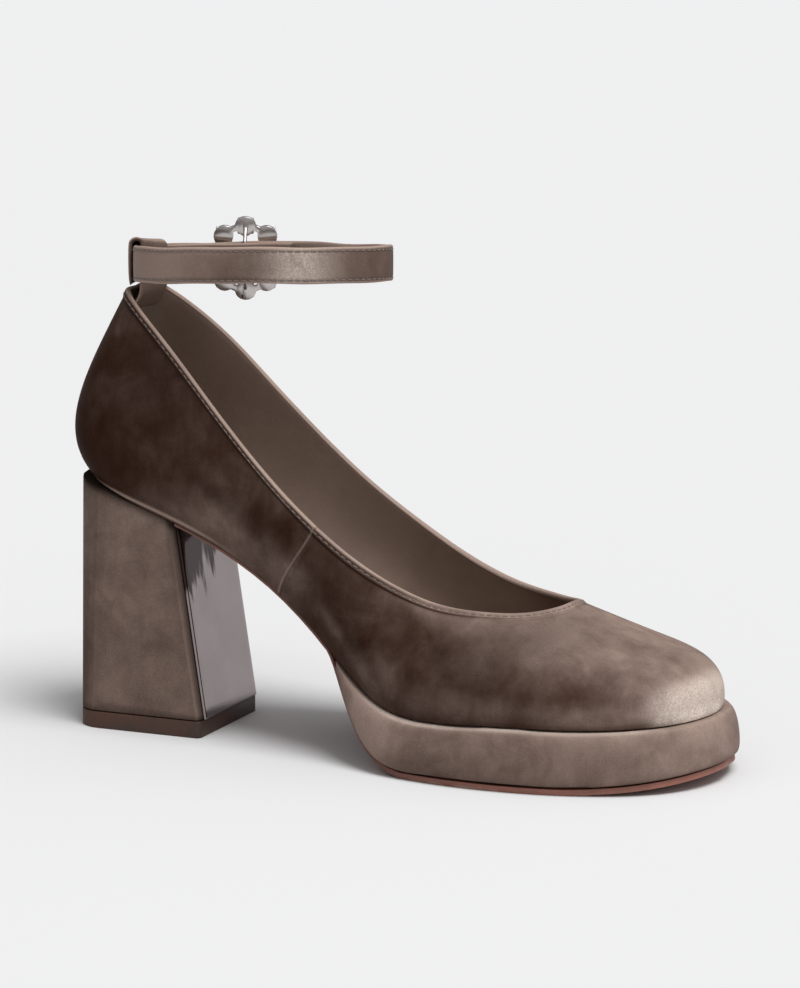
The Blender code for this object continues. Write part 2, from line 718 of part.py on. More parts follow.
def make_stones():
    """Faceted round stones, one on each seat of the ring."""
    centre, along, up, outwards = buckle_frame_vectors()
    stones = []
    sides = np.arange(STONE_SIDES) * 2 * math.pi / STONE_SIDES
    for number, spot in enumerate(stone_places()[1], 1):
        seat = centre + along * spot[0] + up * spot[1] + outwards * (RING_THICK + GAP)
        rings = []
        for facet in STONE_CUT:
            radius = facet.radius * STONE_RADIUS
            flat = np.outer(np.cos(sides), along) + np.outer(np.sin(sides), up)
            rings.append(seat + outwards * facet.height + flat * radius)
        stones.append(loft(f"stone_{number}", rings, closed=False, smooth_angle=5.0))
    return stones


def give_material(made, name, color, rough, metal=0.0):
    material = bpy.data.materials.new(name)
    material.use_nodes = True
    shader = material.node_tree.nodes["Principled BSDF"]
    shader.inputs["Base Color"].default_value = (*color, 1.0)
    shader.inputs["Roughness"].default_value = rough
    shader.inputs["Metallic"].default_value = metal
    made.data.materials.append(material)


def centre_on_floor(objects):
    """Parents every piece to one empty that puts the origin under the middle of the shoe."""
    corners = np.array([v.co for made in objects for v in made.data.vertices])
    middle = (corners.min(axis=0) + corners.max(axis=0)) / 2
    shoe = bpy.data.objects.new("shoe", None)
    bpy.context.scene.collection.objects.link(shoe)
    shoe.location = (-middle[0], -middle[1], 0.0)
    for made in objects:
        made.parent = shoe


def main():
    for old in list(bpy.data.objects):
        bpy.data.objects.remove(old, do_unlink=True)
    velvet = (0.17, 0.125, 0.105)
    frame, bar = make_buckle()
    stones = make_stones()
    looks = [
        (make_upper(), velvet, 0.9, 0.0),
        (make_insole(), (0.30, 0.22, 0.17), 0.6, 0.0),
        (make_platform(), velvet, 0.9, 0.0),
        (make_outsole(), (0.28, 0.15, 0.11), 0.6, 0.0),
        (make_heel(), velvet, 0.9, 0.0),
        (make_heel_plate(), (0.60, 0.54, 0.54), 0.1, 1.0),
        (make_top_lift(), (0.14, 0.09, 0.07), 0.7, 0.0),
        (make_strap(), velvet, 0.9, 0.0),
        (make_loop(), velvet, 0.9, 0.0),
        (frame, (0.50, 0.46, 0.44), 0.25, 1.0),
    ]
    looks += [(stone, (0.80, 0.78, 0.77), 0.05, 0.0) for stone in stones]
    for made, color, rough, metal in looks:
        give_material(made, made.name, color, rough, metal)
    centre_on_floor([look[0] for look in looks])
    bar.parent = frame.parent


main()
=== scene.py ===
"""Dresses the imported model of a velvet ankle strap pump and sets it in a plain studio.

Shapes are worked out in millimetres in the shoe's own frame: x from the back of the counter to the toe,
y to the outer side of the foot, z up from the floor. ORIGIN and MM turn them into the model's frame.
"""

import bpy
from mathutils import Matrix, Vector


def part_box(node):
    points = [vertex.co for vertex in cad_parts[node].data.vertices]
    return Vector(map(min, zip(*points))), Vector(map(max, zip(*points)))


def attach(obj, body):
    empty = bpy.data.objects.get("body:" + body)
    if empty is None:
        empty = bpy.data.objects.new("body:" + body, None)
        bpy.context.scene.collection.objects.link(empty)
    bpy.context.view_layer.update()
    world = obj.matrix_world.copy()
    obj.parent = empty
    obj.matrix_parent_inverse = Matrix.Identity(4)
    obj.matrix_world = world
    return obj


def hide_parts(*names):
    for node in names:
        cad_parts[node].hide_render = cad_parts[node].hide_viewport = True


bl_info = {
    "name": "Velvet ankle strap pump",
    "version": (1, 0, 0),
    "blender": (4, 5, 0),
    "location": "View3D > Sidebar > Pump",
    "description": "Cloth, stitching, metal and stones for a packed platform pump",
    "category": "Object",
}

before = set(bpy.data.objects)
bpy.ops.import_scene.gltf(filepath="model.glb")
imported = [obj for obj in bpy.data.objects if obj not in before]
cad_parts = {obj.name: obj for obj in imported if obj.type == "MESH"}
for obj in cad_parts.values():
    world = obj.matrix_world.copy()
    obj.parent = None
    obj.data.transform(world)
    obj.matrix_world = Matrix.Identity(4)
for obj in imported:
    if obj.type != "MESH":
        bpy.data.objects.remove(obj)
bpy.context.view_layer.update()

import math
from collections import namedtuple

import bpy
import numpy as np
from bpy.props import FloatProperty, FloatVectorProperty, PointerProperty
from bpy.types import Operator, Panel, PropertyGroup
from mathutils import Vector

MM = 0.001
UP = np.array([0.0, 0.0, 1.0])

Height = namedtuple("Height", "along share")
Rib = namedtuple(
    "Rib",
    "foot_x foot_medial foot_lateral top_x top_medial top_lateral top_z lateral_dip rise flare reach drop",
)
Layer = namedtuple("Layer", "past on_strap on_bar")
Crease = namedtuple("Crease", "side x z turn along across depth")
Patch = namedtuple("Patch", "side x z wide high haze shade")
Glow = namedtuple("Glow", "x haze high")
Ring = namedtuple("Ring", "height inward radius twist")
Wave = namedtuple("Wave", "length start height")

# A Stroke is a soft line around a place, a Ramp a smooth change from one place to another.
Stroke = namedtuple("Stroke", "at width strength")
Ramp = namedtuple("Ramp", "start end low high")

# Last of the shoe
LENGTH = 240.0
BALL_WIDTH = 86.0
HEEL_HEIGHT = 85.0
PLATFORM_HEIGHT = 20.0
COLLAR_HEIGHT = 149.8
WALL = 1.8
OUTLINE_STEP = 0.5
GRID_COLUMNS = 1200
GRID_ROWS = 120
SIDE_STEPS = 900
FOOT_PLAN = [0, 1]
TOP_PLAN = [2, 3]

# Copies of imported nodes
MERGE_DISTANCE = 0.01
QUAD_ANGLE = 60.0
RIM_SLOPE = 0.3

# Upper
BAND_WIDTH = 3.0
BAND_RAISE = 0.45
BAND_EDGE = 0.5
RIM_HEIGHT = 0.9
FOOT_ROLL = 2.0
ROLL_DEPTH = 0.2
WALL_COLUMNS = 300
FOOT_ROWS = 7
OUTER_ROWS = 60
BAND_ROWS = 12
RIM_ROWS = 9
INNER_ROWS = 24
CREASE_RIDGE = 1.4
CREASE_SHADE = 0.9
CREASE_FADE = Ramp(0.0, 6.0, 0.0, 1.0)

# Side seam of the upper
SEAM_FOOT_X = 83.0
SEAM_TOP_X = 99.0
SEAM_REACH = 60.0
SEAM_COLUMNS = 24
SEAM_SPREAD = 4.0
SEAM_AT_RIM = 0.5
SEAM_RIDGE = Stroke(1.0, 0.7, 0.10)
SEAM_GROOVE = Stroke(0.0, 0.35, -0.24)
# Painted highlight on the seam's folded edge and painted shade in its groove.
SEAM_LIGHT = Stroke(-0.35, 0.33, 0.5)
SEAM_DARK = Stroke(0.25, 0.3, 0.35)
SEAM_SHADE = Ramp(0.0, 0.4, 0.0, 0.16)
SEAM_SHADE_END = Ramp(3.0, 34.0, 1.0, 0.0)

# Painted light, painted highlights and painted shade on the upper, and the blend of its patches across the
# middle
NAP_BLEND = 8.0
FOOT_PAINTED_LIGHT_FADE = Ramp(0.3, 1.0, 1.0, 0.0)
GLEAM_FACES = (0.95, -0.18, 0.20)
TOE_GLEAM = Ramp(0.66, 0.93, 0.0, 0.58)
FOOT_GLEAM = Ramp(1.0, 6.0, 1.7, 1.0)
RIM_LIGHT = Stroke(0.35, 0.5, 0.8)
RIM_LIGHT_BACK = Ramp(15.0, 60.0, 0.3, 1.0)
RIM_LIGHT_THROAT = Ramp(120.0, 170.0, 1.0, 0.6)
BAND_LIGHT = 0.12
BAND_SHADE = Stroke(BAND_WIDTH + BAND_EDGE, 0.5, 0.32)
SEAT_LIGHT = Stroke(1.5, 0.7, 1.0)
SEAT_LIGHT_END = Ramp(46.0, 70.0, 1.0, 0.0)

# Sock
SOCK_REACH = 0.9

# Platform
# Painted highlight along the ledge's top edge.
LEDGE_PALE = Stroke(0.8, 0.8, 0.35)
LEDGE_BRIGHT = Stroke(0.6, 0.45, 0.6)
LEDGE_LIT = Ramp(110.0, 134.0, 0.0, 1.0)
LEDGE_TOE = Ramp(212.0, 226.0, 1.0, 0.1)
PLATFORM_REAR_HAZE = Stroke(121.0, 17.0, 0.36)
PLATFORM_OUTER_DIP = Ramp(195.0, 225.0, 0.12, 0.0)

# Outsole
TREAD_TOP = 0.6
EDGE_SLOPE = 0.75
SOLE_SHADE = 0.9
SOLE_WEAR = Ramp(128.0, 160.0, 0.0, 1.0)
SOLE_EDGE_SHADE = Ramp(122.0, 144.0, 1.0, 0.0)
SOLE_BACK_SHADE = Ramp(58.0, 66.0, 1.0, 0.0)

# Heel
HEEL_BACK_X = 4.8
# Painted shade under the upper, at the foot, at the front edge by the plate, at the back and towards the
# bottom; painted light towards the top and on the outer side.
HEEL_TOP_SHADE = Ramp(0.6, 3.4, 0.85, 0.0)
HEEL_FOOT_SHADE = Ramp(0.0, 1.6, 0.3, 0.0)
HEEL_LOW_SHADE = Ramp(2.0, 45.0, 0.12, 0.0)
HEEL_FRONT_SHADE = Ramp(0.8, 3.2, 0.7, 0.0)
HEEL_BACK_SHADE = Stroke(HEEL_BACK_X, 9.0, 0.4)
HEEL_BACK_FADE = Ramp(2.0, 16.0, 1.0, 0.0)
HEEL_HIGH_HAZE = Ramp(20.0, 66.0, 0.0, 0.07)
HEEL_OUTER_HAZE = 0.16
# Painted reflection of the dark arch on the top of the plate, reaching further down on the inner side.
PLATE_PAINTED_REFLECTION = 46.0
PLATE_PAINTED_REFLECTION_FAR = 22.0

# Strap
STRAP_WIDTH = 12.4
STRAP_THICK = 1.6
ANKLE_LENGTH = 89.0
ANKLE_WIDTH = 68.0
ANKLE_BACK_X = 21.2
STRAP_BACK_Z = 157.4
STRAP_FRONT_RISE = 6.5
STRAP_INNER_RISE = 5.0
BUCKLE_ANGLE = 62.0
UNDER_END_ANGLE = 22.0
TAIL_END_ANGLE = 20.0
BAR_RADIUS = 0.7
GAP = 0.35
OUTER_LAYER = STRAP_THICK + GAP
OVER_BAR = STRAP_THICK + 2 * GAP + 2 * BAR_RADIUS
STRAP_STEPS = 520
STRAP_CROWN = 0.1
FACE_POINTS = 21
EDGE_POINTS = 5
BACK_POINTS = 9
EDGE_ROUND = 0.9
EDGE_TURN = 60.0
EDGE_WAVES = (Wave(4.1, 0.0, 0.096), Wave(9.7, 1.0, 0.16))
FRONT_FROM = -0.3
# Painted highlight on the folded edges, painted shade along the stitch lines, and a painted highlight patch
# part way round.
STRAP_PALE = Stroke(0.0, 0.75, 1.3)
STRAP_SHADE = Stroke(1.3, 0.35, 0.45)
STRAP_GLEAM = Stroke(-126.0, 15.0, 0.5)
HOLE_TURNS = (-298.0, -270.0)
HOLE_SIDES = 20
HOLE_INSIDE = 0.9

# Stones
STONE_COUNT = 8
STONE_SIDES = 16
STONE_SEAT = 0.95
FACET_POWER = 1.5
FACET_DIGITS = 3
CLAW_COUNT = 4
CLAW_SIDES = 8
CLAW_REACH = 3.25

# Stitches
STITCH_SIDES = 6
STITCH_LOOK = 0.4
TOPLINE_STEPS = 1600
TOPLINE_PROUD = 0.08
TOPLINE_PULL = Stroke(0.0, 0.45, 0.16)
STRAP_PROUD = 0.02
STRAP_PULL = Stroke(0.0, 0.4, 0.16)

# Materials
NOISE_SPAN = (0.3, 0.7)
# Span of facing over which the velvet's painted light grows.
PAINTED_LIGHT_TURN = (-0.35, 1.0)
MIX_SHARE, MIX_A, MIX_B, MIX_RESULT = 0, 6, 7, 2

# Studio
CAMERA_AIM = (117.2, -2.35, 86.4)
CAMERA_REACH = 60.0
PHOTO_WIDTH = 800.0
PHOTO_HEIGHT = 988.0
FLOOR_SIZE = 14.0
AIR_COLOUR = (0.985, 0.99, 1.0, 1.0)
AIR_START = -0.2

# Height of the bottom of the last.
# along is a share of LENGTH, share runs from the platform to the heel height.
BOTTOM_LINE = (
    Height(0.02, 1.015),
    Height(0.18, 0.832),
    Height(0.35, 0.505),
    Height(0.44, 0.247),
    Height(0.51, 0.060),
    Height(0.58, -0.003),
    Height(0.70, 0.013),
    Height(0.80, 0.018),
    Height(0.98, 0.044),
)

# Ribs of the last from the back of the heel to the tip of the toe.
# x is a share of LENGTH, medial and lateral of BALL_WIDTH, top_z of COLLAR_HEIGHT; the rest are lengths.
RIBS = (
    Rib(0.021, 0.000, 0.000, 0.077, 0.000, 0.000, 1.000, 0.0, 15.0, 17.0, 13.0, 25.0),
    Rib(0.048, 0.180, 0.180, 0.090, 0.140, 0.140, 0.993, 0.0, 15.0, 14.0, 11.0, 25.0),
    Rib(0.104, 0.262, 0.262, 0.155, 0.227, 0.227, 0.910, 0.0, 16.0, 8.5, 5.0, 22.0),
    Rib(0.187, 0.273, 0.273, 0.233, 0.279, 0.279, 0.788, 0.5, 15.0, 5.5, 3.0, 18.0),
    Rib(0.275, 0.273, 0.291, 0.308, 0.314, 0.318, 0.668, 1.0, 13.0, 4.5, 2.0, 14.0),
    Rib(0.362, 0.302, 0.330, 0.383, 0.343, 0.348, 0.564, 1.5, 12.0, 4.5, 2.0, 11.0),
    Rib(0.446, 0.372, 0.384, 0.458, 0.366, 0.371, 0.481, 2.0, 12.0, 5.0, 2.5, 10.0),
    Rib(0.529, 0.459, 0.438, 0.529, 0.370, 0.376, 0.421, 3.0, 13.0, 5.0, 4.0, 8.0),
    Rib(0.617, 0.515, 0.468, 0.600, 0.355, 0.364, 0.381, 4.0, 14.0, 4.0, 7.0, 6.5),
    Rib(0.700, 0.529, 0.472, 0.656, 0.314, 0.334, 0.367, 4.5, 15.0, 3.5, 11.0, 6.0),
    Rib(0.783, 0.506, 0.436, 0.698, 0.252, 0.276, 0.362, 4.0, 15.5, 3.0, 17.0, 8.0),
    Rib(0.860, 0.442, 0.370, 0.724, 0.172, 0.192, 0.362, 2.5, 17.5, 2.5, 25.0, 11.6),
    Rib(0.922, 0.340, 0.260, 0.737, 0.088, 0.100, 0.363, 1.0, 19.5, 2.5, 32.5, 14.6),
    Rib(0.958, 0.196, 0.112, 0.741, 0.042, 0.048, 0.364, 0.3, 20.0, 2.5, 35.5, 15.6),
    Rib(0.968, 0.000, 0.000, 0.742, 0.000, 0.000, 0.364, 0.0, 20.0, 2.5, 36.5, 15.6),
)

# How the end of the strap lies, by degrees past the buckle.
# It rests on the layer below it, on the bar, or on the ankle.
STRAP_LAYERS = (
    Layer(-42.0, 1.0, 0.0),
    Layer(-20.0, 1.0, 0.0),
    Layer(-6.0, 0.0, 1.0),
    Layer(20.0, 0.0, 1.0),
    Layer(50.0, 0.0, 0.0),
)

# Soft creases of the upper, seen from the side that each lies on.
# x and z give the middle, turn its slope in degrees; along and across are half sizes.
CREASES = (
    Crease(-1, 112.0, 44.0, -52.0, 15.0, 3.6, 0.34),
    Crease(-1, 121.0, 38.0, -58.0, 13.0, 3.4, 0.28),
    Crease(-1, 150.0, 40.0, -74.0, 10.0, 5.0, 0.22),
    Crease(-1, 60.0, 84.0, -36.0, 14.0, 4.5, 0.24),
    Crease(1, 114.0, 43.0, -52.0, 15.0, 3.8, 0.32),
    Crease(1, 124.0, 37.0, -60.0, 12.0, 3.4, 0.26),
    Crease(1, 152.0, 38.0, -74.0, 10.0, 5.0, 0.22),
    Crease(1, 58.0, 86.0, -36.0, 14.0, 4.5, 0.22),
)

# Where the upper is made paler or darker, seen from the side that each patch lies on: partly brushed nap,
# partly painted light and shade.
# x and z give the middle, wide and high are half sizes.
NAP_AND_PAINTED_LIGHT = (
    Patch(-1, 62.0, 84.0, 28.0, 14.0, 0.18, 0.0),
    Patch(-1, 90.0, 66.0, 20.0, 13.0, 0.20, 0.0),
    Patch(-1, 28.0, 90.0, 16.0, 8.0, 0.12, 0.0),
    Patch(-1, 141.0, 47.0, 14.0, 7.0, -0.30, 0.0),
    Patch(-1, 172.0, 40.0, 18.0, 7.0, -0.24, 0.0),
    Patch(-1, 202.0, 37.0, 16.0, 7.0, -0.28, 0.0),
    Patch(-1, 164.0, 43.0, 18.0, 11.0, 0.0, 0.40),
    Patch(-1, 184.0, 46.0, 14.0, 8.0, 0.0, 0.32),
    Patch(-1, 196.0, 54.0, 14.0, 6.0, 0.10, 0.0),
    Patch(-1, 122.0, 54.0, 17.0, 11.0, 0.0, 0.14),
    Patch(-1, 32.0, 120.0, 24.0, 22.0, 0.0, 0.42),
    Patch(-1, 174.0, 49.0, 12.0, 6.0, 0.0, 0.22),
    Patch(-1, 215.0, 39.0, 12.0, 8.0, 0.0, 0.16),
    Patch(1, 215.0, 39.0, 12.0, 8.0, 0.0, 0.16),
    Patch(1, 60.0, 92.0, 36.0, 24.0, 0.36, 0.0),
    Patch(1, 112.0, 58.0, 28.0, 18.0, 0.38, 0.0),
    Patch(1, 150.0, 42.0, 22.0, 12.0, 0.16, 0.0),
    Patch(1, 200.0, 34.0, 16.0, 8.0, 0.10, 0.0),
    Patch(1, 182.0, 50.0, 13.0, 7.0, -0.16, 0.0),
    Patch(1, 88.0, 66.0, 12.0, 7.0, 0.0, 0.22),
    Patch(1, 172.0, 42.0, 9.0, 6.0, 0.0, 0.22),
)

# Rubbed marks on the heel, seen from the side that each lies on.
HEEL_MARKS = (
    Patch(1, 46.0, 46.0, 3.2, 4.5, 0.0, 0.30),
    Patch(1, 41.0, 50.0, 2.0, 2.4, 0.0, 0.24),
    Patch(1, 37.0, 27.0, 3.6, 3.0, 0.0, 0.26),
    Patch(-1, 12.0, 63.0, 3.0, 8.0, 0.0, 0.16),
    Patch(-1, 35.0, 35.0, 4.5, 3.2, 0.0, 0.16),
    Patch(-1, 30.0, 11.0, 5.0, 2.6, 0.0, 0.16),
)

# How much painted light pales the foot of the upper on both sides, and how high that reaches.
FOOT_PAINTED_LIGHT = (
    Glow(15.0, 0.08, 12.0),
    Glow(40.0, 0.34, 16.0),
    Glow(65.0, 0.54, 25.0),
    Glow(88.0, 0.54, 25.0),
    Glow(104.0, 0.48, 24.0),
    Glow(128.0, 0.46, 22.0),
    Glow(145.0, 0.42, 16.0),
    Glow(165.0, 0.44, 13.0),
    Glow(205.0, 0.52, 11.0),
    Glow(230.0, 0.40, 11.0),
)

# Small shapes are drawn up ring by ring from a round foot.
# inward leans a ring to one side, twist turns it in steps of its corners.
HOLE = (
    Ring(-0.3, 0.0, 1.15, 0.0),
    Ring(0.02, 0.0, 1.15, 0.0),
    Ring(0.12, 0.0, 0.95, 0.0),
    Ring(0.05, 0.0, 0.70, 0.0),
)
STONE = (
    Ring(0.0, 0.0, 3.00, 0.0),
    Ring(0.6, 0.0, 3.21, 0.0),
    Ring(1.1, 0.0, 2.76, 0.5),
    Ring(1.7, 0.0, 1.82, 0.5),
)
CLAW = (
    Ring(-0.5, 0.0, 0.50, 0.0),
    Ring(0.6, -0.06, 0.46, 0.0),
    Ring(1.05, 0.12, 0.46, 0.0),
    Ring(1.4, 0.5, 0.44, 0.0),
    Ring(1.55, 0.85, 0.30, 0.0),
    Ring(1.5, 1.02, 0.10, 0.0),
)
STITCH = (
    Ring(-0.5, 0.0, 0.18, 0.0),
    Ring(-0.3, 0.0, 0.50, 0.0),
    Ring(0.3, 0.0, 0.50, 0.0),
    Ring(0.5, 0.0, 0.18, 0.0),
)

LIFT_LOW, LIFT_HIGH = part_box("top_lift")
ORIGIN = np.array([LIFT_LOW[0] / MM - HEEL_BACK_X, (LIFT_LOW[1] + LIFT_HIGH[1]) / 2 / MM, 0.0])


def length_setting(name, description, default):
    return FloatProperty(name=name, description=description, default=default, unit="LENGTH")


def angle_setting(name, description, degrees):
    return FloatProperty(name=name, description=description, default=math.radians(degrees), subtype="ANGLE")


def strength_setting(name, description, default):
    return FloatProperty(name=name, description=description, default=default)


def colour_setting(name, description, default):
    return FloatVectorProperty(name=name, description=description, default=default, subtype="COLOR")


class PumpSizes(PropertyGroup):
    stitch_pitch: length_setting("Stitch pitch", "Distance from one stitch to the next", 0.0026)
    stitch_length: length_setting("Stitch length", "Length of the thread that shows", 0.0019)
    stitch_width: length_setting("Stitch width", "Width of the thread", 0.00042)
    topline_drop: length_setting("Topline stitches", "Distance of the stitches below the rim", 0.0021)
    strap_inset: length_setting("Strap stitches", "Distance of the stitches from the strap's edge", 0.0013)
    cloth_edge: length_setting("Cloth edge", "Rounding of cloth-covered edges", 0.0008)
    hard_edge: length_setting("Hard edge", "Rounding of sole, lift and metal edges", 0.0003)


class PumpColours(PropertyGroup):
    # The first two velvet colours are the velvet in painted shade and in painted light. The edge colour is a
    # painted highlight on folded edges and ledges, and the gleam colour is a painted highlight.
    velvet_in_painted_shade: colour_setting("Velvet, nap towards", "Velvet seen into its nap", (0.029, 0.0116, 0.0068))
    velvet_in_painted_light: colour_setting("Velvet, nap away", "Velvet brushed the other way", (0.275, 0.200, 0.167))
    velvet_edge_painted_highlight: colour_setting("Velvet edge", "Folded edges of the velvet", (0.36, 0.27, 0.225))
    velvet_painted_highlight: colour_setting("Velvet gleam", "Nap that stands to the light", (0.75, 0.64, 0.56))
    velvet_sheen: colour_setting("Velvet sheen", "Tint of the velvet at a low angle", (0.95, 0.64, 0.48))
    thread: colour_setting("Thread", "Sewing thread", (0.17, 0.122, 0.10))
    lining: colour_setting("Lining", "Leather lining of the upper", (0.185, 0.128, 0.098))
    sock: colour_setting("Sock", "Leather sock on the insole", (0.235, 0.165, 0.128))
    sole: colour_setting("Sole", "Leather of the outsole", (0.27, 0.108, 0.075))
    sole_worn: colour_setting("Worn sole", "Outsole where it has been walked on", (0.40, 0.27, 0.21))
    lift: colour_setting("Top lift", "Rubber under the heel", (0.046, 0.0225, 0.0145))
    plate: colour_setting("Plate", "Polished plate on the heel", (0.268, 0.226, 0.224))
    buckle: colour_setting("Buckle", "Polished metal of the buckle", (0.56, 0.52, 0.50))
    stone: colour_setting("Stones", "Foil behind the crystals", (0.84, 0.75, 0.76))


class PumpStudio(PropertyGroup):
    azimuth: angle_setting("Azimuth", "Turn of the camera from the inner side", 24.15)
    elevation: angle_setting("Elevation", "Height of the camera over the floor", 12.1)
    distance: length_setting("Distance", "Distance of the camera from the shoe", 2.93)
    frame_width: length_setting("Frame width", "Width of the picture at the shoe", 0.268)
    floor: colour_setting("Floor", "Colour of the floor", (0.68, 0.68, 0.683))
    air_low: strength_setting("Low air", "Strength of the light on the dim side", 0.12)
    air_high: strength_setting("High air", "Strength of the light on the bright side", 0.70)
    air_elevation: angle_setting("Air elevation", "Height of the bright side", 58.0)
    key: strength_setting("Key light", "Strength of the soft light at the toe", 2.75)
    key_azimuth: angle_setting("Key azimuth", "Turn of the key light from the inner side", 64.0)
    key_elevation: angle_setting("Key elevation", "Height of the key light", 66.0)
    key_spread: angle_setting("Key spread", "Width of the key light in the sky", 30.0)


def pump_sizes():
    return bpy.context.scene.pump_sizes


def pump_colours():
    return bpy.context.scene.pump_colours


class Spline:
    """Smooth cubic through rows of values, with natural ends or closed over a period."""

    def __init__(self, knots, rows, period=None):
        self.knots = np.array(knots, float)
        self.rows = np.array(rows, float).reshape(len(knots), -1)
        self.period = period
        if period:
            self.knots = np.append(self.knots, self.knots[0] + period)
            self.rows = np.vstack([self.rows, self.rows[:1]])
        self.bends = self._solve_bends()

    def _solve_bends(self):
        count = len(self.knots)
        step = np.diff(self.knots)
        slope = np.diff(self.rows, axis=0) / step[:, None]
        matrix = np.eye(count)
        right = np.zeros_like(self.rows)
        for i in range(1, count - 1):
            matrix[i, i - 1 : i + 2] = step[i - 1], 2 * (step[i - 1] + step[i]), step[i]
            right[i] = 6 * (slope[i] - slope[i - 1])
        if self.period:
            matrix[0, -1] = -1.0
            matrix[-1] = 0.0
            matrix[-1, [0, 1]] = 2 * (step[0] + step[-1]), step[0]
            matrix[-1, -2] = step[-1]
            right[-1] = 6 * (slope[0] - slope[-1])
        return np.linalg.solve(matrix, right)

    def at(self, where):
        where = np.atleast_1d(np.asarray(where, float))
        if self.period:
            where = self.knots[0] + np.mod(where - self.knots[0], self.period)
        i = np.clip(np.searchsorted(self.knots, where, side="right") - 1, 0, len(self.knots) - 2)
        step = (self.knots[i + 1] - self.knots[i])[:, None]
        b = (where - self.knots[i])[:, None] / step
        a = 1.0 - b
        curve = (a**3 - a) * self.bends[i] + (b**3 - b) * self.bends[i + 1]
        return a * self.rows[i] + b * self.rows[i + 1] + curve * step**2 / 6.0


def mix(a, b, share):
    return a + (b - a) * share


def unit(vectors):
    return vectors / np.linalg.norm(vectors, axis=-1, keepdims=True)


def tint(colour, by):
    """Colour scaled by one number, or by one for each channel."""
    return tuple(np.multiply(colour, by))


def bell(distance, width):
    """Soft bump of height 1 around a distance of 0."""
    return np.exp(-((np.asarray(distance) / width) ** 2))


def ease(low, high, value):
    """Smooth step from 0 at low to 1 at high."""
    t = np.clip((np.asarray(value, float) - low) / (high - low), 0.0, 1.0)
    return t * t * (3.0 - 2.0 * t)


def stroke(row, distance):
    """Soft line of a Stroke's strength, around the distance that it lies at."""
    return row.strength * bell(distance - row.at, row.width)


def ramp(row, value):
    """Smooth change from a Ramp's low at its start to its high at its end."""
    return mix(row.low, row.high, ease(row.start, row.end, value))


def run_along(points):
    """Distance of each point along a line of points."""
    return np.concatenate([[0.0], np.cumsum(np.linalg.norm(np.diff(points, axis=0), axis=1))])


def bezier(points, share):
    t = share[None, :, None]
    a, b, c, d = points
    return (1 - t) ** 3 * a + 3 * t * (1 - t) ** 2 * b + 3 * t**2 * (1 - t) * c + t**3 * d


def make_bottom_spline():
    pitch = HEEL_HEIGHT - PLATFORM_HEIGHT
    knots = [row.along * LENGTH for row in BOTTOM_LINE]
    return Spline(knots, [PLATFORM_HEIGHT + row.share * pitch for row in BOTTOM_LINE])


BOTTOM = make_bottom_spline()


def bottom_height(x):
    """Height of the bottom of the last at x."""
    return BOTTOM.at(np.ravel(x))[:, 0].reshape(np.shape(x))


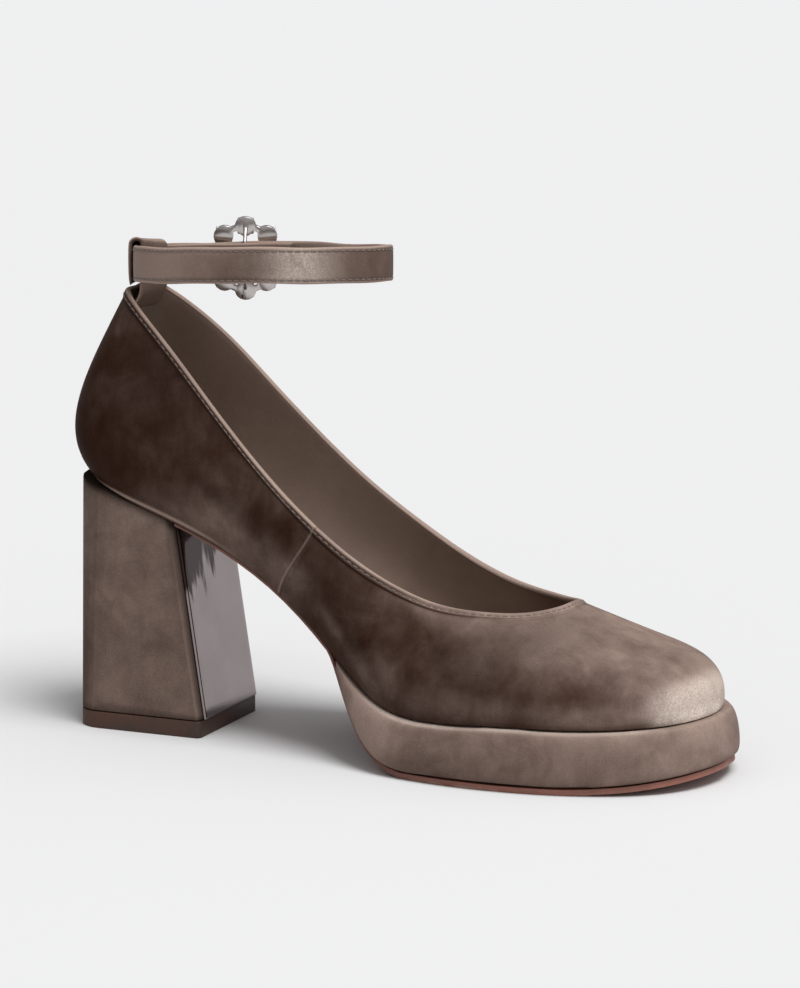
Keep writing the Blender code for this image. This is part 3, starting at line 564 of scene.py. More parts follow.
class Last:
    """Surface of the last on a grid of places around it and shares of the way from foot to topline."""

    def __init__(self):
        rows = self._ribs()
        steps = np.linalg.norm(np.diff(rows[:, :2], axis=0, append=rows[:1, :2]), axis=1)
        knots = np.concatenate([[0.0], np.cumsum(steps)[:-1]])
        self.around = float(steps.sum())
        self.spline = Spline(knots, rows, period=self.around)
        self.toe = float(knots[len(RIBS) - 1])
        self.places = np.arange(GRID_COLUMNS) * self.around / GRID_COLUMNS
        self.points, self.lengths = self._curves(self.places)
        sideways = np.roll(self.points, -1, axis=0) - np.roll(self.points, 1, axis=0)
        self.normals = unit(np.cross(sideways, np.gradient(self.points, axis=1)))

    def _ribs(self):
        rows = []
        lateral = [(row, 1.0) for row in RIBS[-2:0:-1]]
        for row, side in [(row, -1.0) for row in RIBS] + lateral:
            foot_y = (row.foot_medial if side < 0 else row.foot_lateral) * BALL_WIDTH * side
            top_y = (row.top_medial if side < 0 else row.top_lateral) * BALL_WIDTH * side
            dip = row.lateral_dip if side > 0 else 0.0
            foot = [row.foot_x * LENGTH, foot_y]
            top = [row.top_x * LENGTH, top_y, row.top_z * COLLAR_HEIGHT - dip]
            rows.append(foot + top + [row.rise, row.flare, row.reach, row.drop])
        return np.array(rows)

    def _outward(self, at, columns):
        along = self.spline.at(at + OUTLINE_STEP)[:, columns] - self.spline.at(at - OUTLINE_STEP)[:, columns]
        level = unit(np.stack([along[:, 1], -along[:, 0]], axis=1))
        return np.column_stack([level, np.zeros(len(at))])

    def _curves(self, at):
        rows = self.spline.at(at)
        foot = np.column_stack([rows[:, :2], bottom_height(rows[:, 0])])
        top = rows[:, 2:5]
        rise, flare, reach, drop = rows[:, 5:].T[:, :, None]
        low = foot + self._outward(at, FOOT_PLAN) * flare + UP * rise
        high = top + self._outward(at, TOP_PLAN) * reach - UP * drop
        share = np.linspace(0.0, 1.0, GRID_ROWS)
        curves = bezier([part[:, None, :] for part in (foot, low, high, top)], share)
        even = np.empty_like(curves)
        lengths = np.empty(len(at))
        for i, curve in enumerate(curves):
            run = run_along(curve)
            lengths[i] = run[-1]
            for axis in range(3):
                even[i, :, axis] = np.interp(share * run[-1], run, curve[:, axis])
        return even, lengths

    def rib_length(self, at):
        return np.interp(np.mod(at, self.around), self.places, self.lengths, period=self.around)

    def sample(self, at, share):
        """Points and outward normals at places around the last and shares of its height."""
        column = np.mod(at, self.around) / self.around * GRID_COLUMNS
        row = np.clip(share, 0.0, 1.0) * (GRID_ROWS - 1)
        c = column.astype(int)
        r = np.minimum(row.astype(int), GRID_ROWS - 2)
        part_c = (column - c)[:, None]
        part_r = (row - r)[:, None]
        c = c % GRID_COLUMNS
        d = (c + 1) % GRID_COLUMNS
        found = []
        for grid in (self.points, self.normals):
            low = mix(grid[c, r], grid[d, r], part_c)
            high = mix(grid[c, r + 1], grid[d, r + 1], part_c)
            found.append(mix(low, high, part_r))
        return found[0], unit(found[1])

    def medial_place(self, plan, x):
        """Place around the inner side where the foot or topline plan reaches x."""
        places = np.linspace(0.0, self.toe, SIDE_STEPS)
        return float(np.interp(x, self.spline.at(places)[:, plan[0]], places))


LAST = Last()


def to_model(points):
    return (np.asarray(points) + ORIGIN) * MM


def deselect_all():
    if bpy.context.mode != "OBJECT":
        bpy.ops.object.mode_set(mode="OBJECT")
    bpy.ops.object.select_all(action="DESELECT")


def make_active(piece):
    deselect_all()
    piece.select_set(True)
    bpy.context.view_layer.objects.active = piece


def link_mesh(name, points, faces):
    """Smooth mesh object that faces outwards, from points in the model's frame."""
    mesh = bpy.data.meshes.new(name)
    mesh.from_pydata(np.asarray(points).tolist(), [], faces)
    piece = bpy.data.objects.new(name, mesh)
    bpy.context.scene.collection.objects.link(piece)
    make_active(piece)
    bpy.ops.object.mode_set(mode="EDIT")
    bpy.ops.mesh.select_all(action="SELECT")
    bpy.ops.mesh.normals_make_consistent(inside=False)
    bpy.ops.object.mode_set(mode="OBJECT")
    bpy.ops.object.shade_smooth()
    return piece


def grid_faces(rows, columns, rows_close):
    """Quads through rows of points that each close on themselves."""
    last = rows if rows_close else rows - 1
    r, c = np.meshgrid(np.arange(last), np.arange(columns), indexing="ij")
    below = r * columns
    above = (r + 1) % rows * columns
    d = (c + 1) % columns
    return np.stack([below + c, below + d, above + d, above + c], axis=-1).reshape(-1, 4).tolist()


def copy_node(node, name):
    """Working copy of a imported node, its loose triangles merged into quads."""
    piece = bpy.data.objects.new(name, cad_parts[node].data.copy())
    bpy.context.scene.collection.objects.link(piece)
    piece.data.materials.clear()
    make_active(piece)
    bpy.ops.object.mode_set(mode="EDIT")
    bpy.ops.mesh.select_all(action="SELECT")
    bpy.ops.mesh.remove_doubles(threshold=MERGE_DISTANCE * MM)
    angle = math.radians(QUAD_ANGLE)
    bpy.ops.mesh.tris_convert_to_quads(face_threshold=angle, shape_threshold=angle)
    bpy.ops.object.mode_set(mode="OBJECT")
    return piece


def apply_modifier(piece, kind, **settings):
    make_active(piece)
    modifier = piece.modifiers.new(kind.lower(), kind)
    for name, value in settings.items():
        setattr(modifier, name, value)
    bpy.ops.object.modifier_apply(modifier=modifier.name)


def round_edges(piece, width, segments=3, angle=35.0):
    apply_modifier(
        piece, "BEVEL", width=width, segments=segments, limit_method="ANGLE", angle_limit=math.radians(angle)
    )


def subdivide(piece, levels, kind="CATMULL_CLARK"):
    apply_modifier(piece, "SUBSURF", levels=levels, render_levels=levels, subdivision_type=kind)


def smooth_by_angle(piece, angle=40.0):
    make_active(piece)
    bpy.ops.object.shade_smooth_by_angle(angle=math.radians(angle))


def draw_up(name, sides, rings, high=MM, wide=MM):
    """Models a small shape on the z axis from a round foot, one extruded ring after another."""
    deselect_all()
    foot = rings[0]
    radius = foot.radius * wide
    bpy.ops.mesh.primitive_circle_add(vertices=sides, radius=radius, fill_type="NGON", location=(0, 0, 0))
    piece = bpy.context.object
    piece.name = name
    bpy.ops.object.mode_set(mode="EDIT")
    bpy.ops.mesh.select_all(action="SELECT")
    bpy.ops.transform.translate(value=(-foot.inward * wide, 0, foot.height * high))
    for low, ring in zip(rings, rings[1:]):
        step = ((low.inward - ring.inward) * wide, 0, (ring.height - low.height) * high)
        bpy.ops.mesh.extrude_region_move(TRANSFORM_OT_translate={"value": step})
        middle = (-ring.inward * wide, 0, ring.height * high)
        size = ring.radius / low.radius
        bpy.ops.transform.resize(value=(size, size, 1.0), center_override=middle)
        if ring.twist:
            turn = ring.twist * 2 * math.pi / sides
            bpy.ops.transform.rotate(value=turn, orient_axis="Z", center_override=middle)
    bpy.ops.mesh.select_all(action="SELECT")
    bpy.ops.mesh.normals_make_consistent(inside=False)
    bpy.ops.object.mode_set(mode="OBJECT")
    return piece


def copy_shape(shape, name, places):
    """One mesh with a copy of a modelled shape at each place, which is its middle and three axes."""
    points = np.array([vertex.co for vertex in shape.data.vertices])
    faces = [list(face.vertices) for face in shape.data.polygons]
    made = []
    corners = []
    for middle, *axes in places:
        corners += [[len(made) * len(points) + corner for corner in face] for face in faces]
        made.append(np.asarray(middle) + points @ np.array(axes))
    return link_mesh(name, np.concatenate(made), corners)


def points_of(piece):
    """The piece's points in millimetres in the shoe's own frame."""
    flat = np.empty(len(piece.data.vertices) * 3, np.float32)
    piece.data.vertices.foreach_get("co", flat)
    return flat.reshape(-1, 3) / MM - ORIGIN


def paint(piece, **layers):
    """Writes one number for each point to every layer named, for a material to read."""
    for name, values in layers.items():
        layer = piece.data.attributes.new(name, "FLOAT", "POINT")
        layer.data.foreach_set("value", np.clip(np.ravel(values), -1.0, 1.0).astype(np.float32))


def place_piece(piece, material, slot, *nodes):
    """Gives a finished piece its material and its place in the model."""
    piece.data.materials.append(material)
    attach(piece, "root")
    if nodes:
        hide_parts(*nodes)


class Finish:
    """Nodes of one material around its shader."""

    def __init__(self, name):
        self.material = bpy.data.materials.new(name)
        self.material.use_nodes = True
        self.tree = self.material.node_tree
        self.shader = self.tree.nodes["Principled BSDF"]
        self.coords = self.add("ShaderNodeTexCoord").outputs["Object"]

    def add(self, kind, **settings):
        node = self.tree.nodes.new(kind)
        for name, value in settings.items():
            setattr(node, name, value)
        return node

    def put(self, socket, value):
        """Links an output to a socket, or sets the socket to a plain value."""
        if isinstance(value, bpy.types.NodeSocket):
            self.tree.links.new(value, socket)
        elif hasattr(value, "__len__") and len(value) == 3 and socket.type == "RGBA":
            socket.default_value = (*value, 1.0)
        else:
            socket.default_value = value

    def set(self, **values):
        for name, value in values.items():
            self.put(self.shader.inputs[name.replace("_", " ")], value)

    def noise(self, scale, detail=3.0, rough=0.55, twist=0.0, stretch=None):
        """Cloudy pattern on the shoe's own coordinates; a stretch below 1 draws it out along that axis."""
        node = self.add("ShaderNodeTexNoise")
        vector = self.coords
        if stretch:
            mapping = self.add("ShaderNodeMapping")
            self.put(mapping.inputs["Vector"], self.coords)
            mapping.inputs["Scale"].default_value = stretch
            vector = mapping.outputs["Vector"]
        self.put(node.inputs["Vector"], vector)
        settings = {"Scale": scale, "Detail": detail, "Roughness": rough, "Distortion": twist}
        for name, value in settings.items():
            node.inputs[name].default_value = value
        return node.outputs["Fac"]

    def spread(self, value, span=NOISE_SPAN, to=(0.0, 1.0)):
        """Eases a value from one span of numbers to another, and holds it at their ends."""
        node = self.add("ShaderNodeMapRange", interpolation_type="SMOOTHSTEP")
        self.put(node.inputs["Value"], value)
        for name, number in zip(("From Min", "From Max", "To Min", "To Max"), (*span, *to)):
            node.inputs[name].default_value = number
        return node.outputs["Result"]

    def math(self, kind, a, b, clamp=False):
        node = self.add("ShaderNodeMath", operation=kind, use_clamp=clamp)
        self.put(node.inputs[0], a)
        self.put(node.inputs[1], b)
        return node.outputs["Value"]

    def blend(self, share, a, b, kind="MIX"):
        node = self.add("ShaderNodeMix", data_type="RGBA", blend_type=kind, clamp_factor=True)
        self.put(node.inputs[MIX_SHARE], share)
        self.put(node.inputs[MIX_A], a)
        self.put(node.inputs[MIX_B], b)
        return node.outputs[MIX_RESULT]

    def attribute(self, name):
        return self.add("ShaderNodeAttribute", attribute_name=name).outputs["Fac"]

    def painted(self, colour, layer, other, full):
        """Turns a colour to another where the piece's layer is painted, by full where it is 1."""
        return self.blend(self.math("MULTIPLY", self.attribute(layer), full), colour, other)

    def facing(self, direction):
        """How far the surface faces a fixed direction of the shoe, from -1 to 1."""
        normal = self.add("ShaderNodeNewGeometry").outputs["Normal"]
        node = self.add("ShaderNodeVectorMath", operation="DOT_PRODUCT")
        self.put(node.inputs[0], normal)
        node.inputs[1].default_value = Vector(direction).normalized()
        return node.outputs["Value"]

    def bump(self, height, strength, distance, before=None):
        node = self.add("ShaderNodeBump")
        node.inputs["Strength"].default_value = strength
        node.inputs["Distance"].default_value = distance
        self.put(node.inputs["Height"], height)
        if before:
            self.put(node.inputs["Normal"], before)
        return node.outputs["Normal"]


def velvet(name, painted_light_from, turn=1.0, lift=0.0, contrast=1.0):
    """Short-pile velvet: its nap is brushed into clouds, with painted light that pales it by turn where the
    cloth faces the given direction, and painted shade where it turns away.
    """
    colours = pump_colours()
    f = Finish(name)
    clouds = f.noise(30.0, detail=4.0, twist=0.9)
    patches = f.noise(85.0, rough=0.6, twist=0.6)
    brushed = f.noise(260.0, detail=2.0, rough=0.6, stretch=(1.0, 1.0, 0.35))
    fibres = f.noise(3200.0, detail=2.0, rough=0.7)
    grains = f.noise(1500.0, detail=2.0, rough=0.7)
    # Painted light and shade: the velvet pales where the cloth faces the given direction and darkens where it
    # turns away. The haze layer adds paler nap patches and painted light.
    share = f.math("ADD", f.spread(f.facing(painted_light_from), PAINTED_LIGHT_TURN, to=(0.0, turn)), lift)
    share = f.math("ADD", share, f.attribute("haze"))
    for noise, weight in ((clouds, 0.75), (patches, 0.46), (brushed, 0.18)):
        centred = f.math("SUBTRACT", noise, 0.5)
        share = f.math("ADD", share, f.math("MULTIPLY", centred, weight * contrast))
    share = f.math("POWER", f.math("MAXIMUM", share, 0.0), 2.0, clamp=True)
    colour = f.blend(share, colours.velvet_in_painted_shade, colours.velvet_in_painted_light)
    uneven = f.spread(patches, (0.2, 0.6), to=(0.55, 1.0))
    broken = f.math("MULTIPLY", uneven, f.spread(grains, to=(0.65, 1.15)))
    # Painted highlight, painted highlight on folded edges, and painted shade, from the layers painted on each
    # piece.
    colour = f.painted(colour, "bright", colours.velvet_painted_highlight, full=broken)
    colour = f.painted(colour, "pale", colours.velvet_edge_painted_highlight, full=0.8)
    colour = f.painted(colour, "shade", tint(colours.velvet_in_painted_shade, 0.35), full=0.9)
    speckle = f.spread(fibres, to=(0.84, 1.16))
    grey = f.add("ShaderNodeCombineColor")
    for socket in grey.inputs:
        f.put(socket, speckle)
    colour = f.blend(1.0, colour, grey.outputs["Color"], "MULTIPLY")
    normal = f.bump(fibres, strength=0.22, distance=0.0002)
    normal = f.bump(brushed, strength=0.12, distance=0.0006, before=normal)
    f.set(Base_Color=colour, Roughness=f.spread(clouds, to=(0.5, 0.64)), Normal=normal)
    f.set(Sheen_Weight=0.010, Sheen_Roughness=0.30, Sheen_Tint=colours.velvet_sheen)
    f.set(Specular_IOR_Level=0.02, Specular_Tint=(1.0, 0.80, 0.68))
    return f.material


def leather(name, colour, rough, depth, grain=900.0, wear=None):
    """Smooth leather with fine pores and slow changes of tone, of the depth given."""
    f = Finish(name)
    tone = f.noise(38.0, detail=4.0, rough=0.6, twist=0.4)
    pores = f.noise(grain, rough=0.6)
    shade = f.blend(f.spread(tone), tint(colour, 1.0 - depth), tint(colour, 1.0 + depth))
    if wear is not None:
        rubbed = f.noise(55.0, detail=5.0, rough=0.65, twist=0.6)
        shade = f.painted(shade, "wear", wear, full=f.spread(rubbed, (0.5, 0.66), to=(0.0, 0.7)))
    shade = f.painted(shade, "shade", tint(colour, 0.25), full=0.7)
    f.set(Base_Color=shade, Roughness=f.spread(pores, to=(rough - 0.08, rough + 0.1)))
    f.set(Normal=f.bump(pores, strength=0.18, distance=0.00025))
    return f.material


def polished_metal(name, colour, rough, ripple):
    """Plated metal with a soft haze and a slight ripple in its mirror, with a painted reflection that darkens
    it where its shade layer is painted.
    """
    f = Finish(name)
    haze = f.noise(60.0, rough=0.6, twist=0.3)
    waves = f.noise(22.0, detail=1.0, rough=0.4)
    streaks = f.noise(150.0, rough=0.6, stretch=(1.0, 1.0, 0.16))
    shade = f.blend(f.spread(haze, (0.35, 0.65)), tint(colour, 0.92), colour)
    # Painted reflection: the shade layer, broken by streaks, turns the metal dark brown.
    painted_reflection = f.math("ADD", f.attribute("shade"), f.spread(streaks, to=(-0.3, 0.3)))
    painted_reflection = f.spread(painted_reflection, (0.38, 0.62), to=(0.0, 0.97))
    shade = f.blend(painted_reflection, shade, tint(colour, (0.10, 0.07, 0.06)))
    f.set(Base_Color=shade, Metallic=1.0)
    f.set(Roughness=f.spread(haze, to=(rough, rough * 1.8)))
    f.set(Normal=f.bump(waves, strength=0.25, distance=ripple))
    return f.material


def lift_rubber(name, colour):
    """Pressed rubber with a fine speckle and a little gloss."""
    f = Finish(name)
    speckle = f.noise(1400.0, detail=2.0, rough=0.7)
    tone = f.noise(45.0, rough=0.6)
    shade = f.blend(f.spread(tone, (0.35, 0.7)), tint(colour, 0.8), tint(colour, (1.5, 1.2, 1.0)))
    shade = f.blend(f.spread(speckle, (0.6, 0.72), to=(0.0, 0.4)), shade, tint(colour, 2.2))
    f.set(Base_Color=shade, Roughness=f.spread(tone, to=(0.48, 0.66)))
    f.set(Normal=f.bump(speckle, strength=0.15, distance=0.0002))
    return f.material


def thread_finish(name):
    """Twisted sewing thread."""
    colour = pump_colours().thread
    f = Finish(name)
    twist = f.noise(2400.0, detail=1.0, rough=0.5, stretch=(1.0, 1.0, 3.0))
    f.set(Base_Color=f.blend(f.spread(twist, (0.35, 0.65)), tint(colour, 0.55), colour), Roughness=0.6)
    f.set(Normal=f.bump(twist, strength=0.3, distance=0.0001), Sheen_Weight=0.3, Sheen_Roughness=0.5)
    return f.material


def crystal(name, colour):
    """Cut stone with a foil behind it: each facet is painted its own share of light, from dark to the foil's
    colour, as a painted reflection.
    """
    f = Finish(name)
    flaws = f.noise(900.0, detail=1.0, rough=0.5)
    share = f.math("ADD", f.attribute("facet"), f.spread(flaws, to=(-0.12, 0.12)), clamp=True)
    f.set(Base_Color=f.blend(share, tint(colour, (0.10, 0.075, 0.08)), colour), Metallic=0.85)
    f.set(Roughness=f.spread(flaws, to=(0.04, 0.09)), Coat_Weight=0.6, Coat_Roughness=0.02)
    return f.material


def seam_place(share):
    """Place around the inner side where the side seam lies, by share of the height."""
    foot = LAST.medial_place(FOOT_PLAN, SEAM_FOOT_X)
    top = LAST.medial_place(TOP_PLAN, SEAM_TOP_X)
    return mix(foot, top, share)


def wall_columns():
    """Places around the foot of the upper, closer together at the side seam."""
    even = np.arange(WALL_COLUMNS) * LAST.around / WALL_COLUMNS
    middle = seam_place(0.0)
    even = even[np.abs(even - middle) > SEAM_SPREAD]
    near = middle + np.linspace(-SEAM_SPREAD, SEAM_SPREAD, SEAM_COLUMNS + 1)
    return np.sort(np.concatenate([even, near]))


def lean_to_seam(columns, share):
    """Moves the columns near the side seam so that one of them runs along it."""
    near = np.clip(np.abs(columns - seam_place(0.0)) / SEAM_REACH, 0.0, 1.0)
    weight = 1.0 - ease(0.0, 1.0, near)
    return columns + (seam_place(share) - seam_place(0.0)) * weight


def crease_depth(points):
    """How far the soft creases move the wall at each point."""
    moved = np.zeros(len(points))
    for fold in CREASES:
        turn = math.radians(fold.turn)
        x = points[:, 0] - fold.x
        z = points[:, 2] - fold.z
        along = x * math.cos(turn) + z * math.sin(turn)
        across = z * math.cos(turn) - x * math.sin(turn)
        ridge = 1.0 - CREASE_RIDGE * (across / fold.across) ** 2
        shape = bell(along, fold.along) * bell(across, fold.across) * ridge
        moved -= np.where(points[:, 1] * fold.side > 0, fold.depth * shape, 0.0)
    return moved


def patches_of(points, part, rows=NAP_AND_PAINTED_LIGHT):
    """How far the rows of patches pale (haze) or darken (shade) each point: brushed nap with painted light and
    shade on the upper, rubbed marks on the heel.
    """
    found = np.zeros(len(points))
    for row in rows:
        shape = bell(points[:, 0] - row.x, row.wide) * bell(points[:, 2] - row.z, row.high)
        found += getattr(row, part) * shape * ease(-NAP_BLEND, NAP_BLEND, points[:, 1] * row.side)
    return found


def foot_painted_light(x, above):
    """How far painted light pales the foot of the upper."""
    where = [row.x for row in FOOT_PAINTED_LIGHT]
    high = np.interp(x, where, [row.high for row in FOOT_PAINTED_LIGHT])
    return np.interp(x, where, [row.haze for row in FOOT_PAINTED_LIGHT]) * ramp(FOOT_PAINTED_LIGHT_FADE, above / high)


def outer_side(points):
    """Share of the outer side at each point, blended across the middle of the shoe."""
    return ease(-NAP_BLEND, NAP_BLEND, points[:, 1])


def band_lift(below):
    """Height of the folded band by distance below the rim, with the stitches pulled in."""
    step = 1.0 - ease(BAND_WIDTH - BAND_EDGE, BAND_WIDTH + BAND_EDGE, below)
    return BAND_RAISE * step - stroke(TOPLINE_PULL, below - pump_sizes().topline_drop / MM)


def wall_rows(columns):
    """Share of the height and lift off the last for each row of the upper, up to the rim and down inside."""
    length = LAST.rib_length(columns)
    band = 1.0 - (BAND_WIDTH + 2 * BAND_EDGE) / length
    edge = FOOT_ROLL / length
    rows = []
    for step in np.linspace(0.0, 1.0, FOOT_ROWS, endpoint=False):
        rows.append((edge * step, np.full(len(columns), -ROLL_DEPTH * (1.0 - step) ** 2)))
    for step in np.linspace(0.0, 1.0, OUTER_ROWS):
        rows.append((mix(edge, band, step), np.zeros(len(columns))))
    for below in np.linspace(BAND_WIDTH + 2 * BAND_EDGE, RIM_HEIGHT, BAND_ROWS)[1:]:
        rows.append((1.0 - below / length, np.full(len(columns), band_lift(below))))
    thick = WALL + BAND_RAISE
    for turn in np.linspace(0.0, math.pi, RIM_ROWS)[1:-1]:
        lift = BAND_RAISE - thick / 2 + thick / 2 * math.cos(turn)
        below = RIM_HEIGHT * (1.0 - math.sin(turn))
        rows.append((1.0 - below / length, np.full(len(columns), lift)))
    for step in np.linspace(1.0, 0.0, INNER_ROWS):
        rows.append((step * (1.0 - RIM_HEIGHT / length), np.full(len(columns), -WALL)))
    return rows


def make_upper():
    columns = wall_columns()
    length = LAST.rib_length(columns)
    seam = columns - seam_place(0.0)
    rows = wall_rows(columns)
    side = FOOT_ROWS + OUTER_ROWS
    outer = side + BAND_ROWS - 1
    inner = len(rows) - INNER_ROWS
    rings, pale, shade, bright, haze = [], [], [], [], []
    for number, (share, lift) in enumerate(rows):
        points, normals = LAST.sample(lean_to_seam(columns, share), share)
        x = points[:, 0]
        below = (1.0 - share) * length
        above = share * length
        light = np.zeros(len(columns))
        dark = np.zeros(len(columns))
        if number < inner:
            pull = 1.0 if number < outer else SEAM_AT_RIM
            lift = lift + pull * (stroke(SEAM_RIDGE, np.abs(seam)) + stroke(SEAM_GROOVE, seam))
            # Painted highlight along the rim, the folded band, the seam's fold and the seat edge; painted shade
            # in the seam's groove and under the band's edge.
            rim = ramp(RIM_LIGHT_BACK, x) * ramp(RIM_LIGHT_THROAT, x)
            light += stroke(SEAM_LIGHT, seam) + ramp(SEAT_LIGHT_END, x) * stroke(SEAT_LIGHT, above)
            light += rim * (stroke(RIM_LIGHT, below) + BAND_LIGHT * (below < BAND_WIDTH))
            dark += stroke(SEAM_DARK, seam) + ramp(SEAM_SHADE, seam) * ramp(SEAM_SHADE_END, seam)
            dark += stroke(BAND_SHADE, below)
        if number < side:
            fold = crease_depth(points)
            lift = lift + fold * ramp(CREASE_FADE, below - BAND_WIDTH) * ramp(CREASE_FADE, above)
            # Painted shade in the hollows of the creases, with the patches' darker nap and painted shade.
            dark += np.clip(-fold, 0.0, 1.0) * CREASE_SHADE + patches_of(points, "shade")
        pale.append(light)
        shade.append(dark)
        # Painted highlight on the toe where it faces GLEAM_FACES, stronger near the foot.
        bright.append(ramp(TOE_GLEAM, normals @ np.array(GLEAM_FACES)) * ramp(FOOT_GLEAM, above))
        # Paler nap patches with painted light, and painted light along the foot.
        haze.append(patches_of(points, "haze") + foot_painted_light(x, above))
        rings.append(points + normals * lift[:, None])
    rings[-1][:, 2] = bottom_height(rings[-1][:, 0])
    faces = grid_faces(len(rings), len(columns), True)
    piece = link_mesh("upper_wall", to_model(np.concatenate(rings)), faces)
    paint(piece, pale=pale, shade=shade, bright=bright, haze=haze)
    cloth = velvet("upper_velvet", painted_light_from=(0.22, 0.0, 0.97), turn=1.11, lift=-0.11)
    place_piece(piece, cloth, "velvet_upper", "upper")
    piece.data.materials.append(leather("upper_lining", pump_colours().lining, rough=0.58, depth=0.10))
    index = np.zeros((len(rings), len(columns)), np.int32)
    index[inner:-1] = 1
    piece.data.polygons.foreach_set("material_index", index.ravel())
    piece.data.update()


def thread_row(name, places, normals, closed):
    """One mesh with a raised thread at even steps along a line on the cloth."""
    sizes = pump_sizes()
    line = np.vstack([places, places[:1]]) if closed else places
    lean = np.vstack([normals, normals[:1]]) if closed else normals
    run = run_along(line)
    count = int(run[-1] * MM / sizes.stitch_pitch)
    spots = (np.arange(count) + 0.5) * run[-1] / count

    def along(values, where):
        return np.column_stack([np.interp(where, run, values[:, axis]) for axis in range(3)])

    tangent = unit(along(line, spots + STITCH_LOOK) - along(line, spots - STITCH_LOOK))
    normal = along(lean, spots)
    normal = unit(normal - tangent * np.sum(normal * tangent, axis=1, keepdims=True))
    shape = draw_up("stitch", STITCH_SIDES, STITCH, sizes.stitch_length, sizes.stitch_width)
    middle = to_model(along(line, spots))
    row = copy_shape(shape, name, zip(middle, normal, np.cross(tangent, normal), tangent))
    bpy.data.objects.remove(shape)
    return row


def make_topline_stitches():
    places = np.linspace(0.0, LAST.around, TOPLINE_STEPS, endpoint=False)
    drop = pump_sizes().topline_drop / MM
    points, normals = LAST.sample(places, 1.0 - drop / LAST.rib_length(places))
    line = points + normals * (band_lift(drop) + TOPLINE_PROUD)
    piece = thread_row("topline_stitches", line, normals, True)
    place_piece(piece, thread_finish("topline_thread"), "velvet_upper")


def widen(piece, by):
    """Moves the rim of a flat piece outwards, so that it meets the wall around it."""
    for vertex in piece.data.vertices:
        level = Vector((vertex.normal.x, vertex.normal.y, 0.0))
        if level.length > RIM_SLOPE:
            vertex.co += level.normalized() * by * MM


def make_sock():
    piece = copy_node("insole", "sock")
    widen(piece, SOCK_REACH)
    round_edges(piece, pump_sizes().cloth_edge)
    subdivide(piece, 2, "SIMPLE")
    smooth_by_angle(piece)
    finish = leather("sock_leather", pump_colours().sock, rough=0.5, depth=0.08)
    place_piece(piece, finish, "insole_leather", "insole")


def make_platform():
    piece = copy_node("platform", "platform_cover")
    subdivide(piece, 3)
    bpy.ops.object.shade_smooth()
    points = points_of(piece)
    x = points[:, 0]
    below = bottom_height(x) - points[:, 2]
    # Painted highlight along the top edge of the ledge, faded out at the rear and towards the toe.
    lit = ramp(LEDGE_LIT, x)
    pale = stroke(LEDGE_PALE, below) * lit
    bright = stroke(LEDGE_BRIGHT, below) * lit * ramp(LEDGE_TOE, x)
    haze = stroke(PLATFORM_REAR_HAZE, x) - ramp(PLATFORM_OUTER_DIP, x) * outer_side(points)
    paint(piece, pale=pale, bright=bright, haze=haze)
    cloth = velvet("platform_velvet", painted_light_from=(0.80, 0.0, 0.60), turn=0.28, lift=0.585, contrast=0.8)
    place_piece(piece, cloth, "velvet_platform", "platform")


def make_outsole():
    piece = copy_node("outsole", "leather_sole")
    round_edges(piece, pump_sizes().hard_edge, segments=2)
    subdivide(piece, 2, "SIMPLE")
    smooth_by_angle(piece)
    points = points_of(piece)
    x = points[:, 0]
    steep = np.array([abs(vertex.normal.z) < EDGE_SLOPE for vertex in piece.data.vertices])
    shade = SOLE_SHADE * np.maximum(steep * ramp(SOLE_EDGE_SHADE, x), ramp(SOLE_BACK_SHADE, x))
    paint(piece, wear=ramp(SOLE_WEAR, x) * (points[:, 2] < TREAD_TOP), shade=shade)
    colours = pump_colours()
    finish = leather("sole_leather", colours.sole, rough=0.5, depth=0.22, grain=700.0, wear=colours.sole_worn)
    place_piece(piece, finish, "outsole_leather", "outsole")


def make_heel():
    piece = copy_node("heel_block", "heel_cover")
    round_edges(piece, pump_sizes().cloth_edge, angle=30.0)
    subdivide(piece, 3, "SIMPLE")
    smooth_by_angle(piece)
    points = points_of(piece)
    below = bottom_height(points[:, 0]) - points[:, 2]
    foot = points[:, 2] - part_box("heel_block")[0][2] / MM
    low, high = (np.array(corner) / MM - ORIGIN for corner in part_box("heel_plate"))
    front = np.interp(points[:, 2], [low[2], high[2]], [high[0], low[0]]) - points[:, 0]
    # Painted shade under the upper, at the foot, along the front edge and at the back, and darker towards the
    # bottom; the heel's rubbed marks go into the same shade layer.
    shade = ramp(HEEL_TOP_SHADE, below) + ramp(HEEL_FOOT_SHADE, foot) + ramp(HEEL_FRONT_SHADE, front)
    shade += stroke(HEEL_BACK_SHADE, points[:, 0]) * ramp(HEEL_BACK_FADE, below)
    shade += ramp(HEEL_LOW_SHADE, foot) + patches_of(points, "shade", HEEL_MARKS)
    # Painted light towards the top and on the outer side.
    paint(piece, shade=shade, haze=ramp(HEEL_HIGH_HAZE, foot) + HEEL_OUTER_HAZE * outer_side(points))
    cloth = velvet("heel_velvet", painted_light_from=(0.1, 0.0, 0.5), lift=0.53, contrast=0.75)
    place_piece(piece, cloth, "velvet_heel", "heel_block")


def make_top_lift():
    piece = copy_node("top_lift", "heel_lift")
    round_edges(piece, pump_sizes().hard_edge, segments=2)
    smooth_by_angle(piece, 35.0)
    place_piece(piece, lift_rubber("lift_rubber", pump_colours().lift), "top_lift_rubber", "top_lift")


